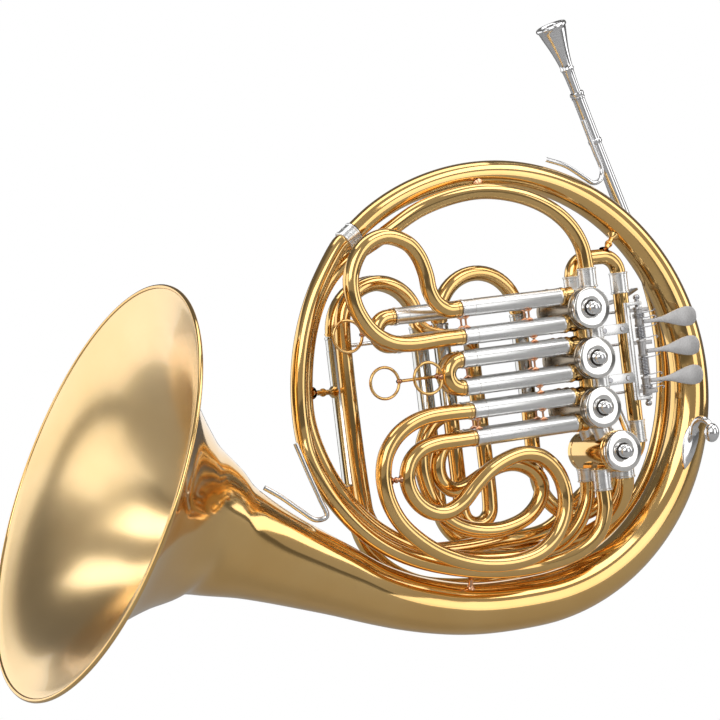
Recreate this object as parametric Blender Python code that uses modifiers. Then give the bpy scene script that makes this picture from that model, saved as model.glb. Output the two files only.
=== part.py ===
"""Double french horn: bell and ring, rotary valves, levers and tuning slides.

World frame: origin at the middle of the ring, +X away from the bell, +Z up,
valve caps facing -Y. Places and sizes below are in millimetres and are turned
into metres by MM when geometry is made.
"""
import math

import bmesh
import bpy
from mathutils import Matrix, Vector

MM = 0.001

# ---- driving dimensions, millimetres ----------------------------------------
RING_CENTRE = (8.5, 2.0)            # x and z of the middle of the big ring
RING_OUTER_R = 179.7                # the ring's outer edge; the tube widens inwards from it
RING_BULGE = 4.0                    # how far the outer edge stands out at the upper left
TUBE_R = 6.0                        # ordinary cylindrical tubing
LEG_R = 5.0                         # inner slide legs
SLEEVE_R = 6.6                      # outer slide sleeves
SLEEVE_BORE_R = 5.8
GAP = 0.4                           # air between pieces that touch

BELL_RIM_CENTRE = (-334.0, -13.0, -24.5)
BELL_RIM_R = 151.5
BELL_AXIS = Vector((-0.901, -0.047, 0.4305)).normalized()
BELL_WALL = 1.4

FRONT_Y = -33.0                     # layer of the F slides
MIDDLE_Y = -12.0                    # layer of the B flat slides
BACK_Y = 14.0                       # layer of the F tuning slide and the fixed loop
MAIN_Y = 28.0                       # layer of the main tuning slide

VALVE_X = 62.5
VALVE_Z = (60.0, 22.0, -16.0)
CHANGE_X = 75.5
CHANGE_Z = -51.0
CASING_R = 16.0
CASING_BORE_R = 13.2
CASING_FRONT_Y = -46.0
CASING_BACK_Y = 8.0
ROTOR_R = 12.6
SHAFT_R = 2.9
CAP_R = 15.7
STOP_REACH = 7.2                    # from a rotor's middle to the pivot on its stop arm
PIVOT_X = 5.1                       # sideways part of that reach at rest

SLIDE_PAIRS = ((71.2, 50.3), (33.4, 12.5), (-5.4, -25.7))   # z of the two tubes of each slide
SLEEVE_RIGHT_X = 45.8
F_SLEEVE_LEFT_X = (-41.0, -45.0, -41.0)
B_SLEEVE_LEFT_X = (-86.0, -38.0, -41.0)

ROD_X = 116.0
ROD_Y = -28.0
LEVER_Z = (44.5, 21.5, -1.5)
LINK_Z = (53.8, 28.2, -9.8)
LINK_Y = 13.5
TAIL_REACH = 7.7                    # the lever tails stand off sideways, clear of the upright tube

RECEIVER_AXIS = Vector((-0.3275, -0.0732, 0.942)).normalized()
RECEIVER_TOP = Vector((109.5, 14.0, 230.0))


# ---- scene and materials -----------------------------------------------------
def clear_scene():
    for obj in list(bpy.data.objects):
        bpy.data.objects.remove(obj, do_unlink=True)


def make_collection(name):
    group = bpy.data.collections.new(name)
    bpy.context.scene.collection.children.link(group)
    return group


def material(name, colour, roughness, metallic=1.0):
    mat = bpy.data.materials.new(name)
    mat.use_nodes = True
    shader = mat.node_tree.nodes["Principled BSDF"]
    shader.inputs["Base Color"].default_value = (*colour, 1.0)
    shader.inputs["Roughness"].default_value = roughness
    shader.inputs["Metallic"].default_value = metallic
    return mat


FINISHES = {
    "brass": ((0.86, 0.58, 0.25), 0.14),
    "nickel": ((0.66, 0.67, 0.68), 0.30),
    "bright": ((0.90, 0.90, 0.90), 0.08),
    "lever": ((0.55, 0.54, 0.54), 0.38),
    "steel": ((0.50, 0.50, 0.52), 0.25),
}


def finish(obj, kind, smooth=True):
    colour, roughness = FINISHES[kind]
    obj.data.materials.clear()
    obj.data.materials.append(material(obj.name + "_" + kind, colour, roughness))
    if smooth and obj.type == "MESH":
        obj.data.shade_smooth()
        obj.data.set_sharp_from_angle(angle=math.radians(40))
    return obj


# ---- routes ------------------------------------------------------------------
def arc(centre_x, centre_z, radius, start, end, y, step=18.0):
    """Points on a circle in a plane of constant y, angles in degrees from +X towards +Z."""
    count = max(2, int(abs(end - start) / step + 0.99))
    points = []
    for i in range(count + 1):
        angle = math.radians(start + (end - start) * i / count)
        points.append((centre_x + radius * math.cos(angle), y, centre_z + radius * math.sin(angle)))
    return points


def smooth_route(knots, turn=15.0, samples=10):
    """A Catmull-Rom curve through the knots, thinned to one point per `turn` degrees.

    A knot is (x, y, z) or (x, y, z, radius).
    """
    knots = [Vector(k) for k in knots]
    ends = [2 * knots[0] - knots[1]] + knots + [2 * knots[-1] - knots[-2]]
    fine = [knots[0]]
    for i in range(1, len(ends) - 2):
        a, b, c, d = ends[i - 1:i + 3]
        gaps = [max((q.xyz - p.xyz).length, 1e-6) ** 0.5 for p, q in ((a, b), (b, c), (c, d))]
        t1 = gaps[0]
        t2 = t1 + gaps[1]
        t3 = t2 + gaps[2]
        for s in range(1, samples + 1):
            t = t1 + (t2 - t1) * s / samples
            a1 = a * ((t1 - t) / t1) + b * (t / t1)
            a2 = b * ((t2 - t) / (t2 - t1)) + c * ((t - t1) / (t2 - t1))
            a3 = c * ((t3 - t) / (t3 - t2)) + d * ((t - t2) / (t3 - t2))
            b1 = a1 * ((t2 - t) / t2) + a2 * (t / t2)
            b2 = a2 * ((t3 - t) / (t3 - t1)) + a3 * ((t - t1) / (t3 - t1))
            fine.append(b1 * ((t2 - t) / (t2 - t1)) + b2 * ((t - t1) / (t2 - t1)))
    kept = [fine[0]]
    heading = (fine[1].xyz - fine[0].xyz).normalized()
    for i in range(1, len(fine) - 1):
        ahead = (fine[i + 1].xyz - fine[i].xyz).normalized()
        if heading.angle(ahead) > math.radians(turn):
            kept.append(fine[i])
            heading = ahead
    kept.append(fine[-1])
    return kept


# ---- shapes ------------------------------------------------------------------
def tube(name, points, radius, kind, sides=8, group=None, caps=True):
    """A curve object along the points, with rings scaled to each point's own radius if it has one."""
    curve = bpy.data.curves.new(name, "CURVE")
    curve.dimensions = "3D"
    curve.bevel_depth = radius * MM
    curve.bevel_resolution = (sides - 4) // 2
    curve.use_fill_caps = caps
    spline = curve.splines.new("POLY")
    spline.points.add(len(points) - 1)
    for target, point in zip(spline.points, points):
        target.co = (point[0] * MM, point[1] * MM, point[2] * MM, 1.0)
        target.radius = point[3] / radius if len(point) > 3 else 1.0
    obj = bpy.data.objects.new(name, curve)
    (group or PARTS).objects.link(obj)
    if kind:
        finish(obj, kind)
    return obj


def to_mesh(obj):
    """A curve or modified object turned into a plain mesh object with its caps welded on."""
    bpy.context.view_layer.update()
    graph = bpy.context.evaluated_depsgraph_get()
    mesh = bpy.data.meshes.new_from_object(obj.evaluated_get(graph))
    work = bmesh.new()
    work.from_mesh(mesh)
    bmesh.ops.remove_doubles(work, verts=work.verts, dist=0.00001)
    bmesh.ops.recalc_face_normals(work, faces=work.faces)
    work.to_mesh(mesh)
    work.free()
    solid = bpy.data.objects.new(obj.name, mesh)
    solid.matrix_world = obj.matrix_world
    obj.users_collection[0].objects.link(solid)
    name = obj.name
    bpy.data.objects.remove(obj, do_unlink=True)
    solid.name = name
    return solid


def frame_along(origin, direction):
    """A matrix whose local Z runs along direction, placed at origin (millimetres)."""
    turn = Vector(direction).to_track_quat("Z", "Y").to_matrix().to_4x4()
    return Matrix.Translation(Vector(origin) * MM) @ turn


def turned(name, profile, origin, direction, kind, steps=16, group=None):
    """A closed or axis-to-axis profile of (radius, height) turned about a line."""
    mesh = bpy.data.meshes.new(name)
    closed = profile[0][0] > 0
    verts = [(r * MM, 0.0, h * MM) for r, h in profile]
    edges = [(i, i + 1) for i in range(len(verts) - 1)]
    if closed:
        edges.append((len(verts) - 1, 0))
    mesh.from_pydata(verts, edges, [])
    obj = bpy.data.objects.new(name, mesh)
    (group or PARTS).objects.link(obj)
    screw = obj.modifiers.new("turn", "SCREW")
    screw.steps = steps
    screw.render_steps = steps
    screw.use_merge_vertices = True
    screw.merge_threshold = 0.00001
    obj.matrix_world = frame_along(origin, direction)
    obj = to_mesh(obj)
    if kind:
        finish(obj, kind)
    return obj


def cylinder(name, start, end, radius, kind=None, sides=12, group=None):
    start = Vector(start)
    end = Vector(end)
    length = (end - start).length
    return turned(name, [(0.0, length), (radius, length), (radius, 0.0), (0.0, 0.0)],
                  start, end - start, kind, sides, group)


def ring_tube(name, start, end, outer, inner, kind=None, sides=12, group=None):
    start = Vector(start)
    end = Vector(end)
    length = (end - start).length
    return turned(name, [(outer, length), (outer, 0.0), (inner, 0.0), (inner, length)],
                  start, end - start, kind, sides, group)


def box(name, low, high, kind=None, group=None):
    mesh = bpy.data.meshes.new(name)
    work = bmesh.new()
    bmesh.ops.create_cube(work, size=1.0)
    size = Vector(high) - Vector(low)
    middle = (Vector(high) + Vector(low)) / 2
    bmesh.ops.scale(work, vec=size * MM, verts=work.verts)
    bmesh.ops.translate(work, vec=middle * MM, verts=work.verts)
    work.to_mesh(mesh)
    work.free()
    obj = bpy.data.objects.new(name, mesh)
    (group or PARTS).objects.link(obj)
    if kind:
        finish(obj, kind, smooth=False)
    return obj


def plate(name, outline, y, thickness, kind=None, holes=(), group=None):
    """A flat piece in the XZ plane: outline of (x, z) points, round holes of (x, z, radius)."""
    curve = bpy.data.curves.new(name, "CURVE")
    curve.dimensions = "2D"
    curve.fill_mode = "BOTH"
    curve.extrude = thickness / 2 * MM
    loops = [list(outline)]
    for x, z, radius in holes:
        loops.append([(x + radius * math.cos(a * math.tau / 12), z + radius * math.sin(a * math.tau / 12))
                      for a in range(12)])
    for loop in loops:
        spline = curve.splines.new("POLY")
        spline.points.add(len(loop) - 1)
        for target, (x, z) in zip(spline.points, loop):
            target.co = (x * MM, z * MM, 0.0, 1.0)
        spline.use_cyclic_u = True
    obj = bpy.data.objects.new(name, curve)
    (group or PARTS).objects.link(obj)
    obj.matrix_world = Matrix.Translation((0, y * MM, 0)) @ Matrix.Rotation(math.radians(90), 4, "X")
    obj = to_mesh(obj)
    if kind:
        finish(obj, kind)
    return obj


def boolean(target, others, operation, kind=None):
    """Join or cut with each of the others in turn, then leave a plain mesh and remove them."""
    for other in others:
        step = target.modifiers.new(operation.lower(), "BOOLEAN")
        step.operation = operation
        step.object = other
        step.solver = "EXACT"
    solid = to_mesh(target)
    for other in others:
        bpy.data.objects.remove(other, do_unlink=True)
    if kind:
        finish(solid, kind)
    return solid


def move_origin(obj, point):
    """Put the object's origin on a joint axis without moving its mesh."""
    shift = Vector(point) * MM - obj.matrix_world.translation
    turn = obj.matrix_world.to_3x3().inverted()
    obj.data.transform(Matrix.Translation(turn @ -shift))
    obj.matrix_world.translation += shift
    return obj


# ---- bell, ring and body tubes ----------------------------------------------
def ring_point(degrees, radius):
    """A station of the big ring, placed so that the tube's outer edge stays on the ring's outline."""
    angle = math.radians(degrees)
    bulge = RING_BULGE * max(0.0, math.cos(math.radians(degrees - 136.0))) ** 8
    reach = RING_OUTER_R + bulge - radius
    return (RING_CENTRE[0] + reach * math.cos(angle), 0.0, RING_CENTRE[1] + reach * math.sin(angle), radius)


def bell_shell(name, stations, sides):
    """An open swept tube with a wall on its inner side."""
    skin = to_mesh(tube(name, stations, 20.0, None, sides=sides, caps=False))
    wall = skin.modifiers.new("wall", "SOLIDIFY")
    wall.thickness = BELL_WALL * MM
    wall.offset = -1.0
    wall.use_even_offset = True
    return finish(to_mesh(skin), "brass")


def bell_axis_point(distance, radius):
    spot = Vector(BELL_RIM_CENTRE) - BELL_AXIS * distance
    return (*spot, radius)


def build_bell():
    flare = [(0.0, 151.5), (2.5, 143.0), (8.0, 129.0), (17.0, 113.0), (30.0, 96.5), (46.0, 81.0),
             (64.0, 66.5), (84.0, 54.0)]
    stations = [bell_axis_point(distance, radius) for distance, radius in flare]
    throat = [(-241.5, -8.0, -71.0, 45.3), (-222.0, -7.0, -81.3, 38.8), (-200.5, -6.0, -92.5, 34.0),
              (-176.0, -4.0, -104.7, 30.2), (-152.0, -2.5, -116.7, 26.8), (-126.5, -1.0, -130.0, 23.3),
              (-100.3, 0.0, -141.0, 21.4), (-75.0, 0.0, -149.0, 20.4), (-50.0, 0.0, -154.8, 19.6)]
    bell_shell("bell_flare", stations + throat, 28)
    tail = [(-47.8, 0.0, -155.1, 19.5), (-22.0, 0.0, -157.8, 19.4)]
    start = -87.0
    stop = 129.3
    count = 20
    for i in range(count + 1):
        share = i / count
        tail.append(ring_point(start + (stop - start) * share, 19.4 - 12.0 * share ** 1.2))
    tube("bell_tail", tail, 20.0, "brass", sides=12)
    bead = [(BELL_RIM_R - 4.0, 2.4), (BELL_RIM_R + 0.6, 2.4), (BELL_RIM_R + 1.6, 1.4),
            (BELL_RIM_R + 1.2, GAP), (BELL_RIM_R - 4.0, GAP)]
    turned("bell_rim", bead, BELL_RIM_CENTRE, BELL_AXIS, "brass", steps=40)
    end = Vector(tail[-1][:3])
    along = (end - Vector(tail[-2][:3])).normalized()
    cylinder("branch_ferrule", end + along * 1.0, end + along * 12.8, 8.0, "nickel", sides=16)
    return [(*(end + along * distance), 6.8) for distance in (13.6, 17.0)]


def build_body_tubes(branch_start):
    first = list(branch_start)
    first += [ring_point(degrees, 6.7) for degrees in (147.0, 156.0, 165.0, 174.0, 183.0)]
    first += [(-163.0, -3.0, -25.0, 6.6), (-150.0, -7.0, -57.0, 6.4), (-127.0, -10.0, -87.0, 6.4),
             (-98.0, -12.0, -107.0, 6.3), (-60.0, -15.0, -121.5, 6.2), (-20.0, -18.0, -129.0, 6.1),
             (12.0, -21.0, -129.0, 6.0), (40.0, -27.0, -123.0, 6.0), (56.0, -31.5, -111.0, 6.0),
             (63.0, -33.0, -94.0, 6.0), (63.5, -33.0, -80.0, 6.0), (63.5, -33.0, -68.0, 6.0)]
    tube("first_branch", smooth_route(first), 6.0, "brass")
    inner = [(71.5, -33.0, 78.0), (71.5, -33.0, 95.0), (69.5, -33.0, 109.0), (61.5, -32.0, 125.0),
             (46.0, -30.0, 140.0), (22.0, -26.0, 152.0), (-9.0, -20.0, 157.5), (-50.0, -12.0, 150.0),
             (-84.0, 0.0, 131.0), (-114.0, 12.0, 113.0), (-130.0, 13.0, 96.0), (-144.0, 13.0, 68.0),
             (-153.0, 13.0, 30.0), (-154.0, 13.0, 0.0), (-147.0, 8.0, -34.0), (-135.0, 1.0, -61.0),
             (-117.0, 0.0, -82.0), (-92.0, 0.0, -99.5), (-60.0, 0.0, -113.0), (-20.0, -3.0, -121.0),
             (12.0, -6.0, -121.5), (34.0, -9.0, -117.0), (50.0, -11.5, -104.0), (60.0, -12.0, -87.0),
             (62.5, -12.0, -75.0), (62.5, -12.0, -68.0)]
    tube("inner_branch", smooth_route(inner), TUBE_R, "brass")
    start = RECEIVER_TOP - RECEIVER_AXIS * 45.0
    pipe = [(*start, 4.6), (145.5, 22.0, 127.0, 5.2), (156.5, 22.0, 90.0, 5.3), (164.0, 22.3, 50.0, 5.4),
            (165.0, 22.8, 8.0, 5.4), (158.0, 24.0, -35.0, 5.5), (140.0, 25.5, -77.0, 5.6),
            (112.0, 26.0, -107.5, 5.6), (70.0, 26.0, -130.5, 5.7), (30.0, 26.0, -140.0, 5.7),
            (-10.0, 26.0, -142.0, 5.8), (-45.0, 26.0, -139.0, 5.8), (-75.0, 27.0, -131.0, 5.8),
            (-97.0, MAIN_Y, -117.0, 5.9), (-112.0, MAIN_Y, -99.0, 5.9), (-118.0, MAIN_Y, -80.0, 6.0),
            (-118.5, MAIN_Y, -66.0, 6.0), (-118.5, MAIN_Y, -52.4, 6.0)]
    tube("leadpipe", smooth_route(pipe), TUBE_R, "brass")
    main_return = [(-47.2, MAIN_Y, -6.4), (-47.2, MAIN_Y, -70.0), (-46.0, MAIN_Y, -86.0),
                   (-40.0, MAIN_Y, -98.0), (-28.0, MAIN_Y, -108.0), (-10.0, MAIN_Y, -114.5),
                   (12.0, 26.5, -119.5), (35.0, 20.0, -121.5), (55.0, 8.0, -117.5), (68.0, -3.0, -111.5),
                   (78.0, -16.0, -102.0), (83.5, -28.0, -87.5), (84.5, FRONT_Y, -76.0),
                   (84.5, FRONT_Y, -68.0)]
    tube("main_return", smooth_route(main_return), TUBE_R, "brass")
    f_return = [(33.5, BACK_Y, -6.4), (33.5, BACK_Y, -66.0), (37.0, 12.0, -81.0), (46.0, 7.5, -93.0),
                (57.5, 1.5, -98.0), (70.0, -4.5, -95.0), (80.5, -10.0, -86.0), (86.5, MIDDLE_Y, -76.0),
                (87.0, MIDDLE_Y, -68.0)]
    tube("f_return", smooth_route(f_return), TUBE_R, "brass")
    loop = [(-35.0, BACK_Y, -6.4), (-35.0, BACK_Y, -78.0)]
    loop += arc(-22.75, -82.0, 12.25, 180.0, 360.0, BACK_Y)
    loop += [(-10.5, BACK_Y, 30.0), (-11.0, 12.5, 37.5), (-15.0, 6.0, 45.5), (-24.0, 1.0, 50.0),
             (-37.0, 1.0, 51.5), (-43.0, 2.0, 52.6), (-49.0, 6.0, 55.5), (-53.4, 12.5, 62.0)]
    loop += arc(-85.2, 66.6, 31.4, 0.0, 180.0, BACK_Y)
    loop += [(-116.6, BACK_Y, -58.0), (-114.5, BACK_Y, -76.0), (-105.0, BACK_Y, -91.0), (-88.0, BACK_Y, -101.5),
             (-66.0, BACK_Y, -108.0), (-38.0, BACK_Y, -110.0), (-8.0, BACK_Y, -109.5), (16.0, 16.0, -110.0),
             (40.0, 20.0, -107.5), (57.0, 20.0, -98.5), (68.5, 14.0, -87.0), (74.5, 5.0, -78.5),
             (75.5, 1.5, -73.0), (75.5, 1.0, -68.2)]
    tube("fixed_loop", smooth_route(loop), TUBE_R, "brass")
    bow = [(70.5, MIDDLE_Y, 77.0), (70.5, MIDDLE_Y, 80.0)]
    bow += arc(84.5, 84.5, 14.0, 180.0, 90.0, MIDDLE_Y) + arc(98.0, 84.5, 14.0, 90.0, 0.0, MIDDLE_Y)
    bow += [(112.0, MIDDLE_Y, -46.0)] + arc(98.0, -46.0, 14.0, 0.0, -90.0, MIDDLE_Y) + [(92.5, MIDDLE_Y, -60.0)]
    tube("valve_bow", bow, TUBE_R, "brass")


# ---- valves -------------------------------------------------------------------
def build_valve(label, x, z, lean, side):
    """Casing, rotor, cap and stop arm of one rotary valve, all about a line along Y.

    At rest the stop arm leans half a right angle: lean is its sign along X and side its sign along Z.
    """
    back = (0.0, 1.0, 0.0)
    depth = CASING_BACK_Y - CASING_FRONT_Y
    wall = 2.0
    casing = [(CASING_BORE_R, 0.0), (CASING_R, 0.0), (CASING_R, depth), (SHAFT_R + GAP, depth),
              (SHAFT_R + GAP, depth - wall), (CASING_BORE_R, depth - wall)]
    turned("casing_" + label, casing[::-1], (x, CASING_FRONT_Y, z), back, "nickel", steps=20)
    length = depth - wall - 1.0 - GAP
    rotor = [(0.0, length + 13.0), (SHAFT_R, length + 13.0), (SHAFT_R, length), (ROTOR_R, length),
             (ROTOR_R, 0.0), (0.0, 0.0)]
    turned("rotor_" + label, rotor, (x, CASING_FRONT_Y + 1.0, z), back, "brass", steps=20)
    cap = [(0.0, 9.6), (2.9, 9.0), (4.4, 6.8), (4.2, 4.6), (2.6, 3.4), (6.2, 3.0), (7.0, 4.0), (14.6, 4.0),
           (CAP_R, 3.0), (CAP_R, 0.0), (0.0, 0.0)]
    turned("cap_" + label, cap, (x, CASING_FRONT_Y - GAP, z), (0.0, -1.0, 0.0), "bright", steps=20)
    ahead = Vector((lean, side)).normalized()
    across = Vector((ahead.y, -ahead.x))
    arm = []
    for i in range(13):
        angle = math.radians(-120.0 + 240.0 * i / 12)
        arm.append(Vector((x, z)) + across * 5.6 * math.sin(angle) - ahead * 5.6 * math.cos(angle))
    for i in range(7):
        angle = math.radians(90.0 + 180.0 * i / 6)
        arm.append(Vector((x, z)) + across * 2.6 * math.sin(angle)
                   + ahead * (STOP_REACH - 2.6 * math.cos(angle)))
    plate("stop_arm_" + label, arm, CASING_BACK_Y + 3.0, 3.0, "steel", holes=((x, z, SHAFT_R + GAP),))


def build_valves():
    for number, z in enumerate(VALVE_Z, 1):
        build_valve(str(number), VALVE_X, z, 1.0, 1.0 if number > 1 else -1.0)
    build_valve("change", CHANGE_X, CHANGE_Z, -1.0, 1.0)


# ---- slides -------------------------------------------------------------------
def sleeve_pair(name, y, z_top, z_low, left_x, stays):
    """Two parallel sleeves joined by short stays into one piece."""
    upper = ring_tube(name, (left_x, y, z_top), (SLEEVE_RIGHT_X, y, z_top), SLEEVE_R, SLEEVE_BORE_R)
    lower = ring_tube(name + "_lower", (left_x, y, z_low), (SLEEVE_RIGHT_X, y, z_low), SLEEVE_R,
                      SLEEVE_BORE_R, group=GUIDES)
    joined = [lower]
    for x in stays:
        joined.append(cylinder(name + "_stay", (x, y, z_low + 6.15), (x, y, z_top - 6.15), 1.3, sides=8,
                               group=GUIDES))
    boolean(upper, joined, "UNION", "nickel")


def crook(name, y, left_x, z_top, z_low, knots, leg_end, kind="brass"):
    """A slide crook: slim legs inside the sleeves, full tubing between them."""
    face = left_x - GAP
    route = [(leg_end, y, z_top, LEG_R), (face + 0.2, y, z_top, LEG_R), (face, y, z_top, TUBE_R),
             (face - 1.5, y, z_top, TUBE_R)]
    while knots[0][0] > face - 3.0:
        knots = knots[1:]
    while knots[-1][0] > face - 3.0:
        knots = knots[:-1]
    route += [(*k[:3], TUBE_R) for k in knots]
    route += [(face - 1.5, y, z_low, TUBE_R), (face, y, z_low, TUBE_R), (face + 0.2, y, z_low, LEG_R),
              (leg_end, y, z_low, LEG_R)]
    return tube(name, route, TUBE_R, kind)


def flat_knots(pairs, y):
    return [(x, y, z) for x, z in pairs]


def build_slides():
    teardrop = flat_knots([(-41.4, 71.2), (-51.0, 71.5), (-59.5, 77.5), (-64.0, 87.0), (-65.5, 100.0),
                           (-70.0, 114.0), (-78.0, 124.0), (-96.0, 130.5), (-114.0, 124.0), (-126.0, 105.0),
                           (-126.5, 86.0), (-122.0, 73.0), (-113.5, 61.0), (-101.0, 52.8), (-86.0, 49.8),
                           (-60.0, 50.3), (-41.4, 50.3)], FRONT_Y)
    third = flat_knots([(-41.4, -5.4), (-62.0, -4.8), (-80.0, -5.5), (-94.0, -9.5), (-106.0, -17.0),
                        (-115.0, -28.0), (-119.0, -40.0), (-119.5, -52.0), (-117.0, -65.0), (-110.5, -79.0),
                        (-100.0, -91.5), (-84.0, -104.5), (-63.0, -115.0), (-40.0, -121.0), (-15.0, -122.0),
                        (4.0, -117.5), (19.0, -106.5), (28.0, -90.0), (29.5, -74.0), (25.0, -59.5),
                        (14.0, -47.5), (-1.0, -43.0), (-16.0, -45.0), (-32.0, -51.5), (-46.0, -61.5),
                        (-57.5, -71.5), (-70.0, -77.0), (-82.0, -76.0), (-92.5, -69.0), (-99.0, -58.5),
                        (-100.5, -47.0), (-96.0, -36.0), (-87.0, -28.8), (-74.0, -25.8), (-57.0, -25.7),
                        (-41.4, -25.7)], FRONT_Y)
    third_back = flat_knots([(-41.4, -5.4), (-54.0, -6.5), (-66.0, -13.0), (-74.0, -26.0), (-77.0, -42.0),
                             (-75.5, -56.0), (-71.0, -70.0), (-62.0, -83.5), (-50.0, -92.0), (-32.0, -97.5),
                             (-12.0, -97.8), (7.0, -92.0), (19.0, -81.0), (22.0, -69.0), (16.0, -58.0),
                             (3.0, -51.0), (-12.0, -50.5), (-28.0, -56.0), (-42.0, -62.0), (-54.0, -63.0),
                             (-62.5, -55.0), (-64.0, -43.5), (-59.5, -32.5), (-51.5, -26.8), (-46.0, -25.7),
                             (-41.4, -25.7)], MIDDLE_Y)
    front_stays = ((-37.0, 17.0), (17.0,), (-37.0, 19.0))
    for i, (z_top, z_low) in enumerate(SLIDE_PAIRS):
        sleeve_pair("f_sleeves_%d" % (i + 1), FRONT_Y, z_top, z_low, F_SLEEVE_LEFT_X[i], front_stays[i])
        sleeve_pair("b_sleeves_%d" % (i + 1), MIDDLE_Y, z_top, z_low, B_SLEEVE_LEFT_X[i], (-30.0, 25.0))
    crook("f_crook_1", FRONT_Y, F_SLEEVE_LEFT_X[0], *SLIDE_PAIRS[0], smooth_route(teardrop)[1:-1], 12.0)
    second = crook("f_crook_2", FRONT_Y, F_SLEEVE_LEFT_X[1], *SLIDE_PAIRS[1],
                   arc(-46.5, 22.95, 10.45, 90.0, 270.0, FRONT_Y), 8.0)
    add_pull_ring(second, -73.5, 22.95, FRONT_Y, -62.0)
    crook("f_crook_3", FRONT_Y, F_SLEEVE_LEFT_X[2], *SLIDE_PAIRS[2], smooth_route(third)[1:-1], 12.0)
    first_back = crook("b_crook_1", MIDDLE_Y, B_SLEEVE_LEFT_X[0], *SLIDE_PAIRS[0],
                       arc(-91.0, 60.75, 10.45, 90.0, 270.0, MIDDLE_Y), -30.0)
    add_pull_ring(first_back, -125.0, 60.75, MIDDLE_Y, -106.5)
    second_back = crook("b_crook_2", MIDDLE_Y, B_SLEEVE_LEFT_X[1], *SLIDE_PAIRS[1],
                        arc(-39.5, 22.95, 10.45, 90.0, 270.0, MIDDLE_Y), 12.0)
    add_pull_ring(second_back, -99.5, 22.95, MIDDLE_Y, -55.0)
    crook("b_crook_3", MIDDLE_Y, B_SLEEVE_LEFT_X[2], *SLIDE_PAIRS[2], smooth_route(third_back)[1:-1], 6.0)
    upright_slide("main", MAIN_Y, -118.5, -47.2, -51.6)
    upright_slide("f_tuning", BACK_Y, -35.0, 33.5, -5.6)


def upright_slide(label, y, left_x, right_x, left_low):
    """A tuning slide that draws upwards: two sleeves with a stay, and the bow above them."""
    right_low = -5.6
    top_z = 62.0
    stay_z = 53.5
    left = ring_tube(label + "_sleeves", (left_x, y, left_low), (left_x, y, top_z), SLEEVE_R, SLEEVE_BORE_R)
    right = ring_tube("right", (right_x, y, right_low), (right_x, y, top_z), SLEEVE_R, SLEEVE_BORE_R,
                      group=GUIDES)
    stay = cylinder("stay", (left_x + 6.15, y, stay_z), (right_x - 6.15, y, stay_z), 1.6, sides=8,
                    group=GUIDES)
    boolean(left, [right, stay], "UNION", "nickel")
    face = top_z + GAP
    leg_low = 14.0
    route = [(left_x, y, leg_low, LEG_R), (left_x, y, face - 0.2, LEG_R), (left_x, y, face, TUBE_R)]
    bend = arc((left_x + right_x) / 2, face + 0.6, (right_x - left_x) / 2, 180.0, 0.0, y)
    route += [(*p, TUBE_R) for p in bend]
    route += [(right_x, y, face, TUBE_R), (right_x, y, face - 0.2, LEG_R), (right_x, y, leg_low, LEG_R)]
    tube(label + "_bow", route, TUBE_R, "brass")


def add_pull_ring(slide, centre_x, z, y, post_end):
    """A finger ring on a short post, soldered to the outside of a crook."""
    radius = 11.7
    wire = 0.9
    ring = tube("ring", arc(centre_x, z, radius, 0.0, 336.0, y, 24.0), wire, None, sides=6, group=GUIDES)
    ring.data.splines[0].use_cyclic_u = True
    ring.data.use_fill_caps = False
    ring = to_mesh(ring)
    post = cylinder("post", (centre_x + radius, y, z), (post_end, y, z), 1.3, sides=8, group=GUIDES)
    return boolean(to_mesh(slide), [ring, post], "UNION", "brass")


# ---- levers -------------------------------------------------------------------
def build_levers():
    low, high = -21.0, 66.0
    rod = [(0.0, high), (2.6, high - 1.0), (3.4, high - 3.0), (2.6, high - 4.6), (1.8, high - 4.8),
           (1.8, low + 4.8), (2.6, low + 4.6), (3.4, low + 3.0), (2.6, low + 1.0), (0.0, low)]
    turned("lever_rod", rod, (ROD_X, ROD_Y, 0.0), (0.0, 0.0, 1.0), "steel", steps=12)
    rack = box("lever_rack", (107.5, -26.0, -15.5), (110.5, -21.5, 60.5))
    pieces = []
    for z in (-15.6, 57.8):
        pieces.append(box("lug", (107.5, ROD_Y - 3.2, z), (ROD_X + 3.2, ROD_Y + 3.2, z + 2.6), group=GUIDES))
    for z in (41.0, 2.5):
        pieces.append(box("strap", (81.5, -25.0, z - 4.0), (108.5, -23.4, z + 4.0), group=GUIDES))
    rack = boolean(rack, pieces, "UNION")
    bores = [cylinder("bore", (ROD_X, ROD_Y, -18.0), (ROD_X, ROD_Y, 62.0), 2.3, group=GUIDES)]
    boolean(rack, bores, "DIFFERENCE", "steel")
    hubs = ((40.8, 56.2), (17.6, 31.0), (-12.6, 2.2))
    tail_x = ROD_X + TAIL_REACH
    for number, (z, link_z, (hub_low, hub_high)) in enumerate(zip(LEVER_Z, LINK_Z, hubs), 1):
        lever = plate("lever_%d" % number, paddle_outline(z), ROD_Y - 3.6, 1.6)
        hub = cylinder("hub", (ROD_X, ROD_Y, hub_low), (ROD_X, ROD_Y, hub_high), 3.6, group=GUIDES)
        step = box("step", (ROD_X, ROD_Y - 1.2, link_z - 1.6), (tail_x, ROD_Y + 1.2, link_z + 1.6),
                   group=GUIDES)
        tail = box("tail", (tail_x - 1.2, ROD_Y - 1.4, link_z - 1.5),
                   (tail_x + 1.2, LINK_Y + 2.4, link_z + 1.5), group=GUIDES)
        lever = boolean(lever, [hub, step, tail], "UNION")
        bore = cylinder("bore", (ROD_X, ROD_Y, hub_low - 1.0), (ROD_X, ROD_Y, hub_high + 1.0), 2.3,
                        group=GUIDES)
        move_origin(boolean(lever, [bore], "DIFFERENCE", "lever"), (ROD_X, ROD_Y, z))
    for number, (bottom, top) in enumerate(((32.0, 40.2), (3.4, 16.8)), 1):
        ring_tube("lever_spring_%d" % number, (ROD_X, ROD_Y, bottom), (ROD_X, ROD_Y, top), 4.0, 3.0, "steel",
                  sides=12)


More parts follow.
